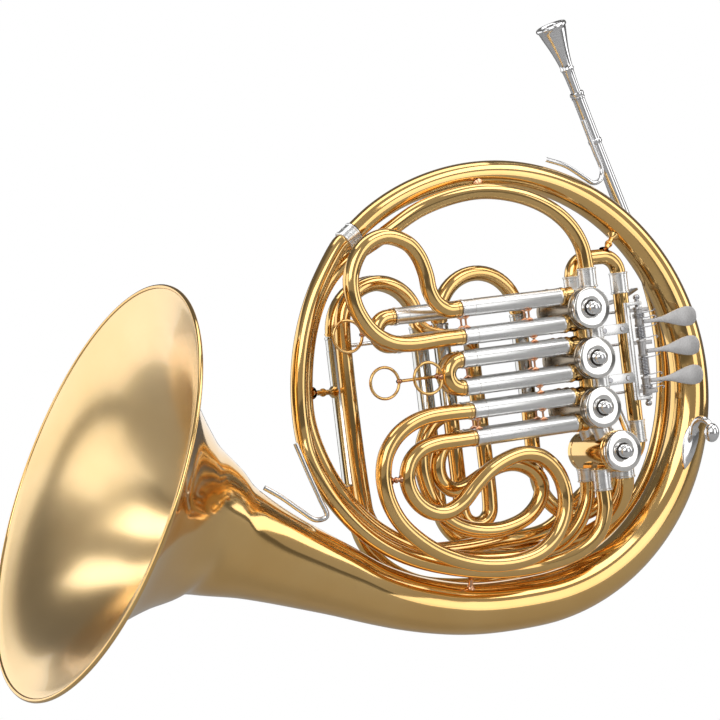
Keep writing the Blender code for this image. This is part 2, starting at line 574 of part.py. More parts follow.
def paddle_outline(z):
    """Arm and touch-piece of a lever, seen from the front: a slim arm that widens to a rounded spoon."""
    half = [(ROD_X + 3.0, 1.4), (ROD_X + 14.0, 1.7), (ROD_X + 24.0, 3.6), (ROD_X + 34.0, 6.6),
            (ROD_X + 41.0, 7.8), (ROD_X + 46.5, 7.2), (ROD_X + 49.5, 4.2), (ROD_X + 50.2, 0.0)]
    upper = [(ROD_X, 1.4)] + half
    lower = [(x, -h) for x, h in reversed(upper[:-1])]
    return [(x, z + h) for x, h in upper] + [(x, z + h) for x, h in lower]


def build_links():
    for number, z in enumerate(LINK_Z, 1):
        tail_x = ROD_X + TAIL_REACH
        link = cylinder("link_%d" % number, (VALVE_X + PIVOT_X, LINK_Y + 3.0, z),
                        (tail_x - 2.1, LINK_Y + 0.8, z), 1.1, "steel", sides=8)
        move_origin(link, (tail_x, LINK_Y, z))


def build_thumb_lever():
    """Thumb key, its upright shaft behind the valves and the arm that works the change valve."""
    x, y = 108.5, 23.0
    reach = 28.0
    arm_z = -44.8
    shaft = cylinder("thumb_lever", (x, y, arm_z - 4.0), (x, y, 72.0), 2.0)
    key = plate("key", [(x, 58.5), (x + 22.0, 62.5), (x + 38.2, 69.6), (x + 37.5, 71.2), (x + 21.4, 64.5),
                        (x, 61.5)], y - 1.0, 11.0, group=GUIDES)
    arm = box("arm", (x - 1.2, y, arm_z - 1.8), (x + 1.2, y + reach + 2.0, arm_z + 1.8), group=GUIDES)
    thumb = boolean(shaft, [key, arm], "UNION", "lever")
    move_origin(thumb, (x, y, 0.0))
    link = cylinder("link_change", (CHANGE_X - PIVOT_X, LINK_Y + 3.0, arm_z), (x - 3.0, y + reach, arm_z),
                    1.1, "steel", sides=8)
    move_origin(link, (x, y + reach, arm_z))


# ---- mouthpiece, braces and hook ----------------------------------------------
def build_mouthpiece():
    top = RECEIVER_TOP
    receiver = [(5.6, 0.0), (5.6, -4.0), (4.9, -5.0), (4.9, -44.0), (2.6, -44.0), (4.35, 0.0)]
    turned("receiver", receiver, top, RECEIVER_AXIS, "bright", steps=16)
    shank = [(8.6, 56.0), (10.6, 57.0), (12.4, 56.4), (12.7, 55.0), (11.6, 53.2), (9.2, 46.0), (6.6, 33.0),
             (4.9, 19.5), (4.9, 18.0), (4.4, 17.0), (3.9, 0.0), (3.0, -20.0), (2.0, -20.0), (2.0, 20.0),
             (3.2, 32.0), (6.6, 46.0), (8.4, 53.0)]
    turned("mouthpiece", shank, top, RECEIVER_AXIS, "bright", steps=20)


def build_braces():
    pipe_brace = [(66.0, -1.0, 178.5), (84.0, 0.0, 172.0), (102.0, 4.0, 161.5), (111.0, 7.0, 157.2),
                  (119.5, 9.5, 159.5), (122.5, 11.0, 167.0), (117.5, 10.5, 183.0), (109.5, 9.0, 207.0)]
    tube("leadpipe_brace", smooth_route(pipe_brace, turn=20.0), 1.9, "bright")
    bell_brace = [(-203.0, -6.0, -41.0), (-191.0, -8.0, -50.0), (-178.0, -9.5, -61.5),
                  (-168.0, -11.5, -69.5), (-160.0, -13.5, -68.0), (-163.5, -13.8, -55.0),
                  (-169.0, -13.0, -38.0), (-176.5, -11.0, -12.0)]
    tube("bell_brace", smooth_route(bell_brace, turn=20.0), 1.9, "bright")


def build_hook():
    """Little-finger hook: a leaf-shaped saddle on the ring, a strap that curls forwards and a round end."""
    leaf = [(147.5, -75.3), (154.2, -69.3), (161.0, -58.3), (164.6, -49.0), (164.2, -43.5), (156.3, -42.0),
            (153.0, -45.0), (149.8, -50.5), (147.9, -57.0), (147.2, -66.4)]
    saddle = plate("saddle", leaf, -18.1, 1.6, group=GUIDES)
    strap = [(158.0, -18.6, -48.0), (159.6, -21.0, -41.0), (160.8, -26.0, -37.6), (162.6, -32.0, -37.8),
             (164.2, -35.4, -41.5), (164.8, -36.0, -47.0)]
    hook = tube("finger_hook", smooth_route(strap, turn=20.0), 2.4, None)
    knob = turned("knob", [(0.0, 7.6), (4.0, 5.7), (5.9, 0.0), (4.0, -5.7), (0.0, -7.6)], (164.8, -36.0, -48.2),
                  (0.1, 0.0, 1.0), None, steps=12, group=GUIDES)
    boolean(to_mesh(hook), [saddle, knob], "UNION", "bright")


clear_scene()
PARTS = make_collection("french_horn")
GUIDES = make_collection("cutters")
ferrule_end = build_bell()
build_body_tubes(ferrule_end)
build_valves()
build_slides()
build_levers()
build_links()
build_thumb_lever()
build_mouthpiece()
build_braces()
build_hook()
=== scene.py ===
"""The french horn's looks: fine surfaces, finishes, small fittings, studio and camera.

Places and sizes are in millimetres in the horn's own frame (origin at the middle of the ring,
+X away from the bell, +Z up, valve caps facing -Y) and are turned into metres by MM.
"""
import math

import bmesh
import bpy
from mathutils import Matrix, Vector


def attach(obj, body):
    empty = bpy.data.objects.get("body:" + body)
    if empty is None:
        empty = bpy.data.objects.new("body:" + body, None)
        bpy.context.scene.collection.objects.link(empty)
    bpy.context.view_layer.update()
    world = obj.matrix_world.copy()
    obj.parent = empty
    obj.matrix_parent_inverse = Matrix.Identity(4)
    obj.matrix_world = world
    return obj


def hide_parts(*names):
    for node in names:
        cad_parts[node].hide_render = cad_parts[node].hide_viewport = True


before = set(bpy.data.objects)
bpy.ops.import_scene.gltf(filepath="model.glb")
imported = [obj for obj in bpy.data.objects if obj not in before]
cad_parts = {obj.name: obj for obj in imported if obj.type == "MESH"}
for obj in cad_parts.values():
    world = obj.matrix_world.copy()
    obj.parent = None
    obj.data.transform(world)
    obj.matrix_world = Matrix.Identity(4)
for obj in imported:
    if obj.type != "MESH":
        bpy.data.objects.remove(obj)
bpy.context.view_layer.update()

MM = 0.001

# ---- driving dimensions, the same as the frame's ----------------------------------
RING_CENTRE = (8.5, 2.0)
RING_OUTER_R = 179.7
RING_BULGE = 4.0
TUBE_R = 6.0
SLEEVE_R = 6.6
BELL_RIM_CENTRE = Vector((-334.0, -13.0, -24.5))
BELL_RIM_R = 151.5
BELL_AXIS = Vector((-0.901, -0.047, 0.4305)).normalized()
BELL_WALL = 1.3
FRONT_Y = -33.0
MIDDLE_Y = -12.0
BACK_Y = 14.0
MAIN_Y = 28.0
VALVE_X = 62.5
VALVE_Z = (60.0, 22.0, -16.0)
CHANGE = (75.5, -51.0)
CASING_R = 16.0
CASING_FRONT_Y = -46.0
CASING_BACK_Y = 8.0
SLIDE_PAIRS = ((71.2, 50.3), (33.4, 12.5), (-5.4, -25.7))
SLEEVE_RIGHT_X = 45.8
F_SLEEVE_LEFT_X = (-41.0, -45.0, -41.0)
B_SLEEVE_LEFT_X = (-86.0, -38.0, -41.0)
ROD_X = 116.0
ROD_Y = -28.0
LEVER_Z = (44.5, 21.5, -1.5)
LINK_Z = (53.8, 28.2, -9.8)
LINK_Y = 13.5
TAIL_REACH = 7.7
RECEIVER_AXIS = Vector((-0.3275, -0.0732, 0.942)).normalized()
RECEIVER_TOP = Vector((109.5, 14.0, 230.0))


# ---- finishes ------------------------------------------------------------------------
def shader_material(name, colour, roughness, metallic=1.0):
    mat = bpy.data.materials.new(name)
    mat.use_nodes = True
    shader = mat.node_tree.nodes["Principled BSDF"]
    shader.inputs["Base Color"].default_value = (*colour, 1.0)
    shader.inputs["Roughness"].default_value = roughness
    shader.inputs["Metallic"].default_value = metallic
    return mat, shader


def add_noise(mat, scale, detail=3.0, stretch=(1.0, 1.0, 1.0)):
    """A noise texture in the object's own coordinates, stretched along an axis if asked."""
    tree = mat.node_tree
    place = tree.nodes.new("ShaderNodeTexCoord")
    mapping = tree.nodes.new("ShaderNodeMapping")
    mapping.inputs["Scale"].default_value = stretch
    noise = tree.nodes.new("ShaderNodeTexNoise")
    noise.inputs["Scale"].default_value = scale
    noise.inputs["Detail"].default_value = detail
    tree.links.new(place.outputs["Object"], mapping.inputs["Vector"])
    tree.links.new(mapping.outputs["Vector"], noise.inputs["Vector"])
    return noise


def vary_colour(mat, shader, noise, first, second, low=0.35, high=0.65):
    tree = mat.node_tree
    ramp = tree.nodes.new("ShaderNodeValToRGB")
    ramp.color_ramp.elements[0].position = low
    ramp.color_ramp.elements[0].color = (*first, 1.0)
    ramp.color_ramp.elements[1].position = high
    ramp.color_ramp.elements[1].color = (*second, 1.0)
    tree.links.new(noise.outputs["Fac"], ramp.inputs["Fac"])
    tree.links.new(ramp.outputs["Color"], shader.inputs["Base Color"])


def vary_roughness(mat, shader, noise, low, high):
    tree = mat.node_tree
    spread = tree.nodes.new("ShaderNodeMapRange")
    spread.inputs["To Min"].default_value = low
    spread.inputs["To Max"].default_value = high
    tree.links.new(noise.outputs["Fac"], spread.inputs["Value"])
    tree.links.new(spread.outputs["Result"], shader.inputs["Roughness"])


def add_bump(mat, shader, noise, strength, distance):
    tree = mat.node_tree
    bump = tree.nodes.new("ShaderNodeBump")
    bump.inputs["Strength"].default_value = strength
    bump.inputs["Distance"].default_value = distance
    tree.links.new(noise.outputs["Fac"], bump.inputs["Height"])
    tree.links.new(bump.outputs["Normal"], shader.inputs["Normal"])


def lacquered(name, first, second, low, high, coat=0.35, waves=0.035):
    """Polished metal under clear lacquer: slow drift of tone, faint hand-polish waves."""
    mat, shader = shader_material(name, first, low)
    shader.inputs["Coat Weight"].default_value = coat
    shader.inputs["Coat Roughness"].default_value = 0.04
    vary_colour(mat, shader, add_noise(mat, 14.0), first, second)
    vary_roughness(mat, shader, add_noise(mat, 60.0, 4.0), low, high)
    add_bump(mat, shader, add_noise(mat, 90.0, 2.0), waves, 0.0004)
    return mat


def plated(name, first, second, roughness):
    """Smooth plated metal: one even gloss and a slow drift of tone, with no surface waves."""
    mat, shader = shader_material(name, first, roughness)
    vary_colour(mat, shader, add_noise(mat, 14.0), first, second)
    return mat


def brushed(name, first, second, low, high, stretch, strength=0.12):
    """Satin metal: fine lines drawn along one direction."""
    mat, shader = shader_material(name, first, low)
    lines = add_noise(mat, 260.0, 4.0, stretch)
    vary_colour(mat, shader, lines, first, second)
    vary_roughness(mat, shader, lines, low, high)
    add_bump(mat, shader, lines, strength, 0.0002)
    return mat


def make_finishes():
    shine = {
        "brass": lacquered("lacquered_brass", (0.83, 0.52, 0.185), (0.88, 0.58, 0.23), 0.06, 0.12),
        "bell_inside": lacquered("bell_inside_brass", (0.88, 0.62, 0.30), (0.92, 0.67, 0.35), 0.22, 0.29,
                                 0.25),
        "rose": lacquered("rose_brass", (0.66, 0.33, 0.18), (0.74, 0.40, 0.23), 0.12, 0.20),
        "polished": plated("polished_nickel", (0.88, 0.87, 0.85), (0.93, 0.92, 0.90), 0.09),
        "silver": plated("silver_plate", (0.80, 0.80, 0.81), (0.87, 0.87, 0.88), 0.11),
        "nickel": brushed("satin_nickel", (0.84, 0.84, 0.84), (0.92, 0.92, 0.91), 0.24, 0.32,
                          (0.06, 1.0, 1.0), 0.04),
        "mirror": plated("mirror_nickel", (0.60, 0.60, 0.58), (0.70, 0.70, 0.68), 0.09),
        "casing": brushed("casing_nickel", (0.30, 0.25, 0.19), (0.40, 0.34, 0.26), 0.18, 0.30,
                          (1.0, 0.06, 1.0)),
        "steel": brushed("turned_steel", (0.42, 0.42, 0.44), (0.55, 0.55, 0.57), 0.20, 0.32, (1.0, 1.0, 0.1)),
        "raw": brushed("raw_brass", (0.62, 0.43, 0.20), (0.72, 0.52, 0.26), 0.25, 0.35, (1.0, 0.1, 1.0)),
        # near-black painted shade for the shallow groove round each cap's ball screw, standing in for the
        # shade that falls in it
        "dark": brushed("cap_groove_painted_shade", (0.05, 0.045, 0.04), (0.09, 0.08, 0.07), 0.35, 0.5, (1.0, 1.0, 1.0)),
    }
    mat, shader = shader_material("matte_lever", (0.52, 0.51, 0.51), 0.42)
    grain = add_noise(mat, 900.0, 2.0)
    vary_colour(mat, shader, grain, (0.50, 0.49, 0.49), (0.60, 0.59, 0.59))
    vary_roughness(mat, shader, grain, 0.36, 0.48)
    add_bump(mat, shader, grain, 0.15, 0.0002)
    shine["lever"] = mat
    mat, shader = shader_material("cork", (0.42, 0.27, 0.14), 0.85, 0.0)
    grain = add_noise(mat, 500.0, 5.0)
    vary_colour(mat, shader, grain, (0.24, 0.14, 0.07), (0.52, 0.35, 0.19))
    add_bump(mat, shader, grain, 0.4, 0.0005)
    shine["cork"] = mat
    return shine


SHINE = make_finishes()


# ---- routes --------------------------------------------------------------------------
def arc(centre_x, centre_z, radius, start, end, y, step=7.5):
    """Points on a circle in a plane of constant y, angles in degrees from +X towards +Z."""
    count = max(3, int(abs(end - start) / step + 0.99))
    points = []
    for i in range(count + 1):
        angle = math.radians(start + (end - start) * i / count)
        points.append((centre_x + radius * math.cos(angle), y, centre_z + radius * math.sin(angle)))
    return points


def smooth_route(knots, samples=8):
    """A centripetal Catmull-Rom curve through knots of (x, y, z) or (x, y, z, radius)."""
    knots = [Vector(k) for k in knots]
    ends = [2 * knots[0] - knots[1]] + knots + [2 * knots[-1] - knots[-2]]
    fine = [knots[0]]
    for i in range(1, len(ends) - 2):
        a, b, c, d = ends[i - 1:i + 3]
        gaps = [max((Vector(q[:3]) - Vector(p[:3])).length, 1e-6) ** 0.5 for p, q in ((a, b), (b, c), (c, d))]
        t1 = gaps[0]
        t2 = t1 + gaps[1]
        t3 = t2 + gaps[2]
        for s in range(1, samples + 1):
            t = t1 + (t2 - t1) * s / samples
            a1 = a * ((t1 - t) / t1) + b * (t / t1)
            a2 = b * ((t2 - t) / (t2 - t1)) + c * ((t - t1) / (t2 - t1))
            a3 = c * ((t3 - t) / (t3 - t2)) + d * ((t - t2) / (t3 - t2))
            b1 = a1 * ((t2 - t) / t2) + a2 * (t / t2)
            b2 = a2 * ((t3 - t) / (t3 - t1)) + a3 * ((t - t1) / (t3 - t1))
            fine.append(b1 * ((t2 - t) / (t2 - t1)) + b2 * ((t - t1) / (t2 - t1)))
    return fine


def flat_knots(pairs, y):
    return [(x, y, z) for x, z in pairs]


def ring_point(degrees, radius):
    """A station of the big ring, placed so that the tube's outer edge stays on the ring's outline."""
    angle = math.radians(degrees)
    bulge = RING_BULGE * max(0.0, math.cos(math.radians(degrees - 136.0))) ** 8
    reach = RING_OUTER_R + bulge - radius
    return (RING_CENTRE[0] + reach * math.cos(angle), 0.0, RING_CENTRE[1] + reach * math.sin(angle), radius)


# ---- pieces --------------------------------------------------------------------------
class Piece:
    """One object gathered from swept, turned and flat shapes, each with its own finish."""

    def __init__(self, name):
        self.name = name
        self.verts = []
        self.faces = []
        self.kinds = []
        self.used = []

    def finish_index(self, kind):
        if kind not in self.used:
            self.used.append(kind)
        return self.used.index(kind)

    def skin(self, rings, kind, close_start=True, close_end=True):
        """Faces between rings of points; a ring of one point is a pole."""
        index = self.finish_index(kind)
        starts = []
        for ring in rings:
            starts.append(len(self.verts))
            self.verts.extend(Vector(p) * MM for p in ring)
        for k in range(len(rings) - 1):
            here, there = len(rings[k]), len(rings[k + 1])
            sides = max(here, there)
            for i in range(sides):
                j = (i + 1) % sides
                face = [starts[k] + i % here, starts[k] + j % here, starts[k + 1] + j % there,
                        starts[k + 1] + i % there]
                face = list(dict.fromkeys(face))
                if len(face) > 2:
                    self.faces.append(face)
                    self.kinds.append(index)
        if close_start and len(rings[0]) > 2:
            self.faces.append([starts[0] + i for i in reversed(range(len(rings[0])))])
            self.kinds.append(index)
        if close_end and len(rings[-1]) > 2:
            self.faces.append([starts[-1] + i for i in range(len(rings[-1]))])
            self.kinds.append(index)
        return self

    def sweep(self, points, kind, radius=TUBE_R, sides=28, caps=True):
        """A round bar along the points; a fourth value of a point is the local radius."""
        rings = []
        spots = [Vector(p[:3]) for p in points]
        heading = None
        side = None
        for i, spot in enumerate(spots):
            before = next((spot - q for q in reversed(spots[:i]) if (spot - q).length > 1e-4), None)
            after = next((q - spot for q in spots[i + 1:] if (q - spot).length > 1e-4), None)
            ahead = (before or after).normalized() + (after or before).normalized()
            ahead.normalize()
            if heading is None:
                side = ahead.orthogonal().normalized()
            else:
                side = heading.rotation_difference(ahead) @ side
            heading = ahead
            up = heading.cross(side)
            reach = points[i][3] if len(points[i]) > 3 else radius
            ring = []
            for s in range(sides):
                angle = math.tau * s / sides
                ring.append(spot + (side * math.cos(angle) + up * math.sin(angle)) * reach)
            rings.append(ring)
        return self.skin(rings, kind, caps, caps)

    def turn(self, profile, origin, axis, kind, steps=40, caps=False):
        """A profile of (radius, height) turned about the line from origin along axis."""
        axis = Vector(axis).normalized()
        side = axis.orthogonal().normalized()
        up = axis.cross(side)
        rings = []
        for reach, height in profile:
            base = Vector(origin) + axis * height
            if reach < 1e-6:
                rings.append([base])
                continue
            ring = []
            for s in range(steps):
                angle = math.tau * s / steps
                ring.append(base + (side * math.cos(angle) + up * math.sin(angle)) * reach)
            rings.append(ring)
        return self.skin(rings, kind, caps, caps)

    def bar(self, start, end, radius, kind, sides=20):
        """A round bar with softened ends."""
        start = Vector(start)
        end = Vector(end)
        length = (end - start).length
        soft = min(0.35, radius * 0.3)
        profile = [(0.0, 0.0), (radius - soft, 0.0), (radius, soft), (radius, length - soft),
                   (radius - soft, length), (0.0, length)]
        return self.turn(profile, start, end - start, kind, sides)

    def ferrule(self, start, end, radius, kind="nickel", bead=0.5):
        """A sleeve over a joint in a tube, with a raised bead near each end."""
        start = Vector(start)
        end = Vector(end)
        length = (end - start).length
        profile = [(radius - 1.2, 0.0), (radius, 0.15), (radius + bead, 0.5), (radius + bead, 1.4),
                   (radius, 1.8), (radius, length - 1.8), (radius + bead, length - 1.4),
                   (radius + bead, length - 0.5), (radius, length - 0.15), (radius - 1.2, length)]
        return self.turn(profile, start, end - start, kind)

    def flat(self, outline, y, thickness, kind, soft=0.5, turned=None):
        """A plate in the XZ plane from an outline of (x, z) points, with softened edges."""
        work = bmesh.new()
        corners = [work.verts.new((x, 0.0, z)) for x, z in outline]
        face = work.faces.new(corners)
        grown = bmesh.ops.extrude_face_region(work, geom=[face])
        moved = [item for item in grown["geom"] if isinstance(item, bmesh.types.BMVert)]
        bmesh.ops.translate(work, vec=(0.0, thickness, 0.0), verts=moved)
        bmesh.ops.recalc_face_normals(work, faces=work.faces)
        rim = [e for e in work.edges if abs(e.verts[0].co.y - e.verts[1].co.y) < 1e-6]
        if soft:
            bmesh.ops.bevel(work, geom=rim, offset=soft, segments=2, affect="EDGES", profile=0.5)
        place = turned or Matrix.Identity(4)
        shift = Vector((0.0, y - thickness / 2, 0.0))
        base = len(self.verts)
        work.verts.index_update()
        self.verts.extend((place @ (v.co + shift)) * MM for v in work.verts)
        index = self.finish_index(kind)
        for f in work.faces:
            self.faces.append([base + v.index for v in f.verts])
            self.kinds.append(index)
        work.free()
        return self

    def block(self, low, high, kind, soft=0.4):
        """A box with softened edges."""
        outline = [(low[0], low[2]), (high[0], low[2]), (high[0], high[2]), (low[0], high[2])]
        return self.flat(outline, (low[1] + high[1]) / 2, high[1] - low[1], kind, soft)

    def done(self, body, slot, *nodes, angle=38.0):
        """Makes the object, rides it on its body and lets it stand for the nodes."""
        mesh = bpy.data.meshes.new(self.name)
        mesh.from_pydata(self.verts, [], self.faces)
        for kind in self.used:
            mesh.materials.append(SHINE[kind])
        mesh.polygons.foreach_set("material_index", self.kinds)
        work = bmesh.new()
        work.from_mesh(mesh)
        bmesh.ops.recalc_face_normals(work, faces=work.faces)
        work.to_mesh(mesh)
        work.free()
        mesh.shade_smooth()
        mesh.set_sharp_from_angle(angle=math.radians(angle))
        obj = bpy.data.objects.new(self.name, mesh)
        bpy.context.scene.collection.objects.link(obj)
        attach(obj, body)
        if nodes:
            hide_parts(*nodes)
        return obj


def bead_at(piece, spot, axis, radius, kind, width=1.6, height=0.5):
    """A small raised ring on a tube."""
    half = width / 2
    profile = [(radius - 0.6, -half), (radius + height * 0.7, -half * 0.8), (radius + height, 0.0),
               (radius + height * 0.7, half * 0.8), (radius - 0.6, half)]
    piece.turn(profile, spot, axis, kind)


# ---- bell and ring -------------------------------------------------------------------
def bell_stations():
    flare = [(0.0, 151.5), (1.0, 147.5), (2.5, 143.0), (8.0, 129.0), (17.0, 113.0), (30.0, 96.5),
             (46.0, 81.0), (64.0, 66.5), (84.0, 54.0)]
    knots = [(*(BELL_RIM_CENTRE - BELL_AXIS * distance), radius) for distance, radius in flare]
    knots += [(-241.5, -8.0, -71.0, 45.3), (-222.0, -7.0, -81.3, 38.8), (-200.5, -6.0, -92.5, 34.0),
              (-176.0, -4.0, -104.7, 30.2), (-152.0, -2.5, -116.7, 26.8), (-126.5, -1.0, -130.0, 23.3),
              (-100.3, 0.0, -141.0, 21.4), (-75.0, 0.0, -149.0, 20.4), (-50.0, 0.0, -154.8, 19.6),
              (-22.0, 0.0, -157.8, 19.4)]
    start, stop, count = -87.0, 129.3, 36
    for i in range(count + 1):
        share = i / count
        knots.append(ring_point(start + (stop - start) * share, 19.4 - 12.0 * share ** 1.2))
    return smooth_route(knots, samples=4)


def build_bell():
    stations = bell_stations()
    bell = Piece("bell")
    bell.sweep(stations, "brass", sides=96, caps=False)
    inner = []
    last = min(range(len(stations)), key=lambda i: abs(stations[i][0] + 75.0))
    for i in range(last + 1):
        here = stations[i]
        before = stations[max(i - 1, 0)]
        after = stations[i + 1]
        along = Vector(after[:3]) - Vector(before[:3])
        run = along.length
        rise = after[3] - before[3]
        slope = math.hypot(run, rise)
        spot = Vector(here[:3]) + along.normalized() * (BELL_WALL * rise / slope)
        inner.append((*spot, here[3] - BELL_WALL * run / slope))
    bell.sweep(inner, "bell_inside", sides=96, caps=False)
    bell.done("body", "lacquered_brass", "bell_flare", "bell_tail")
    rim = Piece("bell_rolled_rim")
    bead = []
    for i in range(13):
        angle = math.radians(-60.0 + 300.0 * i / 12)
        bead.append((BELL_RIM_R - 0.1 + 1.75 * math.cos(angle), 0.4 + 1.75 * math.sin(angle)))
    bead.append(bead[0])
    rim.turn(bead, BELL_RIM_CENTRE, BELL_AXIS, "brass", steps=160)
    rim.done("body", "lacquered_brass", "bell_rim", angle=60.0)
    end = Vector(stations[-1][:3])
    along = (end - Vector(stations[-3][:3])).normalized()
    ferrule = Piece("branch_collar")
    ferrule.ferrule(end + along * 0.6, end + along * 13.0, 7.9, "nickel", 0.6)
    bead_at(ferrule, end + along * 6.8, along, 7.9, "nickel", 1.2, 0.25)
    ferrule.done("body", "satin_nickel", "branch_ferrule")
    return [(*(end + along * distance), 6.8) for distance in (12.0, 17.0)]


# ---- body tubes ------------------------------------------------------------------------
def body_tube(node, route, *ferrules):
    """A tube of the body along a route, with a ferrule where it meets each valve."""
    piece = Piece(node + "_tube").sweep(route, "brass")
    for start, end, radius in ferrules:
        piece.ferrule(start, end, radius)
    piece.done("body", "lacquered_brass", node)


def build_body_tubes(branch_start):
    first = list(branch_start)
    first += [ring_point(degrees, 6.7) for degrees in (147.0, 156.0, 165.0, 174.0, 183.0)]
    first += [(-163.0, -3.0, -25.0, 6.6), (-150.0, -7.0, -57.0, 6.4), (-127.0, -10.0, -87.0, 6.4),
              (-98.0, -12.0, -107.0, 6.3), (-60.0, -15.0, -121.5, 6.2), (-20.0, -18.0, -129.0, 6.1),
              (12.0, -21.0, -129.0, 6.0), (40.0, -27.0, -123.0, 6.0), (56.0, -31.5, -111.0, 6.0),
              (63.0, -33.0, -94.0, 6.0), (63.5, -33.0, -80.0, 6.0), (63.5, -33.0, -62.0, 6.0)]
    body_tube("first_branch", smooth_route(first),
              ((63.5, FRONT_Y, -80.0), (63.5, FRONT_Y, -63.0), 7.0))

    inner = [(71.5, -33.0, 74.0), (71.5, -33.0, 95.0), (69.5, -33.0, 109.0), (61.5, -32.0, 125.0),
             (46.0, -30.0, 140.0), (22.0, -26.0, 152.0), (-9.0, -20.0, 157.5), (-50.0, -12.0, 150.0),
             (-84.0, 0.0, 131.0), (-114.0, 12.0, 113.0), (-130.0, 13.0, 96.0), (-144.0, 13.0, 68.0),
             (-153.0, 13.0, 30.0), (-154.0, 13.0, 0.0), (-147.0, 8.0, -34.0), (-135.0, 1.0, -61.0),
             (-117.0, 0.0, -82.0), (-92.0, 0.0, -99.5), (-60.0, 0.0, -113.0), (-20.0, -3.0, -121.0),
             (12.0, -6.0, -121.5), (34.0, -9.0, -117.0), (50.0, -11.5, -104.0), (60.0, -12.0, -87.0),
             (62.5, -12.0, -75.0), (62.5, -12.0, -62.0)]
    body_tube("inner_branch", smooth_route(inner),
              ((71.5, FRONT_Y, 75.5), (71.5, FRONT_Y, 91.0), 7.0),
              ((62.5, MIDDLE_Y, -73.0), (62.5, MIDDLE_Y, -62.0), 6.9))

    start = RECEIVER_TOP - RECEIVER_AXIS * 43.0
    pipe = [(*start, 4.6), (145.5, 22.0, 127.0, 5.2), (156.5, 22.0, 90.0, 5.3), (164.0, 22.3, 50.0, 5.4),
            (165.0, 22.8, 8.0, 5.4), (158.0, 24.0, -35.0, 5.5), (140.0, 25.5, -77.0, 5.6),
            (112.0, 26.0, -107.5, 5.6), (70.0, 26.0, -130.5, 5.7), (30.0, 26.0, -140.0, 5.7),
            (-10.0, 26.0, -142.0, 5.8), (-45.0, 26.0, -139.0, 5.8), (-75.0, 27.0, -131.0, 5.8),
            (-97.0, MAIN_Y, -117.0, 5.9), (-112.0, MAIN_Y, -99.0, 5.9), (-118.0, MAIN_Y, -80.0, 6.0),
            (-118.5, MAIN_Y, -66.0, 6.0), (-118.5, MAIN_Y, -51.0, 6.0)]
    route = smooth_route(pipe)
    turn_over = next(i for i, spot in enumerate(route) if spot[2] < 130.0)
    piece = Piece("leadpipe_tube").sweep(route[:turn_over + 1], "silver")
    piece.sweep(route[turn_over:], "brass")
    along = Vector(route[turn_over + 1][:3]) - Vector(route[turn_over][:3])
    bead_at(piece, route[turn_over][:3], along, route[turn_over][3], "silver", 5.0, 0.5)
    piece.done("body", "lacquered_brass", "leadpipe")

    main_return = [(-47.2, MAIN_Y, -5.0), (-47.2, MAIN_Y, -70.0), (-46.0, MAIN_Y, -86.0),
                   (-40.0, MAIN_Y, -98.0), (-28.0, MAIN_Y, -108.0), (-10.0, MAIN_Y, -114.5),
                   (12.0, 26.5, -119.5), (35.0, 20.0, -121.5), (55.0, 8.0, -117.5), (68.0, -3.0, -111.5),
                   (78.0, -16.0, -102.0), (83.5, -28.0, -87.5), (84.5, FRONT_Y, -76.0),
                   (84.5, FRONT_Y, -62.0)]
    body_tube("main_return", smooth_route(main_return),
              ((84.5, FRONT_Y, -73.0), (84.5, FRONT_Y, -62.0), 7.0))

    f_return = [(33.5, BACK_Y, -5.0), (33.5, BACK_Y, -66.0), (37.0, 12.0, -81.0), (46.0, 7.5, -93.0),
                (57.5, 1.5, -98.0), (70.0, -4.5, -95.0), (80.5, -10.0, -86.0), (86.5, MIDDLE_Y, -76.0),
                (87.0, MIDDLE_Y, -62.0)]
    body_tube("f_return", smooth_route(f_return),
              ((87.0, MIDDLE_Y, -73.0), (87.0, MIDDLE_Y, -62.0), 6.9))

    loop = [(-35.0, BACK_Y, -5.0), (-35.0, BACK_Y, -78.0)]
    loop += arc(-22.75, -82.0, 12.25, 180.0, 360.0, BACK_Y, 30.0)
    loop += [(-10.5, BACK_Y, 30.0), (-11.0, 12.5, 37.5), (-15.0, 6.0, 45.5), (-24.0, 1.0, 50.0),
             (-37.0, 1.0, 51.5), (-43.0, 2.0, 52.6), (-49.0, 6.0, 55.5), (-53.4, 12.5, 62.0)]
    loop += arc(-85.2, 66.6, 31.4, 0.0, 180.0, BACK_Y, 22.5)
    loop += [(-116.6, BACK_Y, -58.0), (-114.5, BACK_Y, -76.0), (-105.0, BACK_Y, -91.0),
             (-88.0, BACK_Y, -101.5), (-66.0, BACK_Y, -108.0), (-38.0, BACK_Y, -110.0),
             (-8.0, BACK_Y, -109.5), (16.0, 16.0, -110.0), (40.0, 20.0, -107.5), (57.0, 20.0, -98.5),
             (68.5, 14.0, -87.0), (74.5, 5.0, -78.5), (75.5, 1.5, -73.0), (75.5, 1.0, -62.0)]
    body_tube("fixed_loop", smooth_route(loop),
              ((75.5, 1.0, -73.0), (75.5, 1.0, -62.0), 6.9))

    bow = [(70.5, MIDDLE_Y, 74.0), (70.5, MIDDLE_Y, 80.0)]
    bow += arc(84.5, 84.5, 14.0, 180.0, 90.0, MIDDLE_Y) + arc(98.0, 84.5, 14.0, 90.0, 0.0, MIDDLE_Y)
    bow += [(112.0, MIDDLE_Y, -46.0)]
    bow += arc(98.0, -46.0, 14.0, 0.0, -90.0, MIDDLE_Y)
    bow += [(90.0, MIDDLE_Y, -60.0)]
    body_tube("valve_bow", bow,
              ((70.5, MIDDLE_Y, 74.5), (70.5, MIDDLE_Y, 86.0), 6.9),
              ((112.0, MIDDLE_Y, 68.0), (112.0, MIDDLE_Y, 85.0), 6.9),
              ((112.0, MIDDLE_Y, -49.0), (112.0, MIDDLE_Y, -31.0), 6.9))


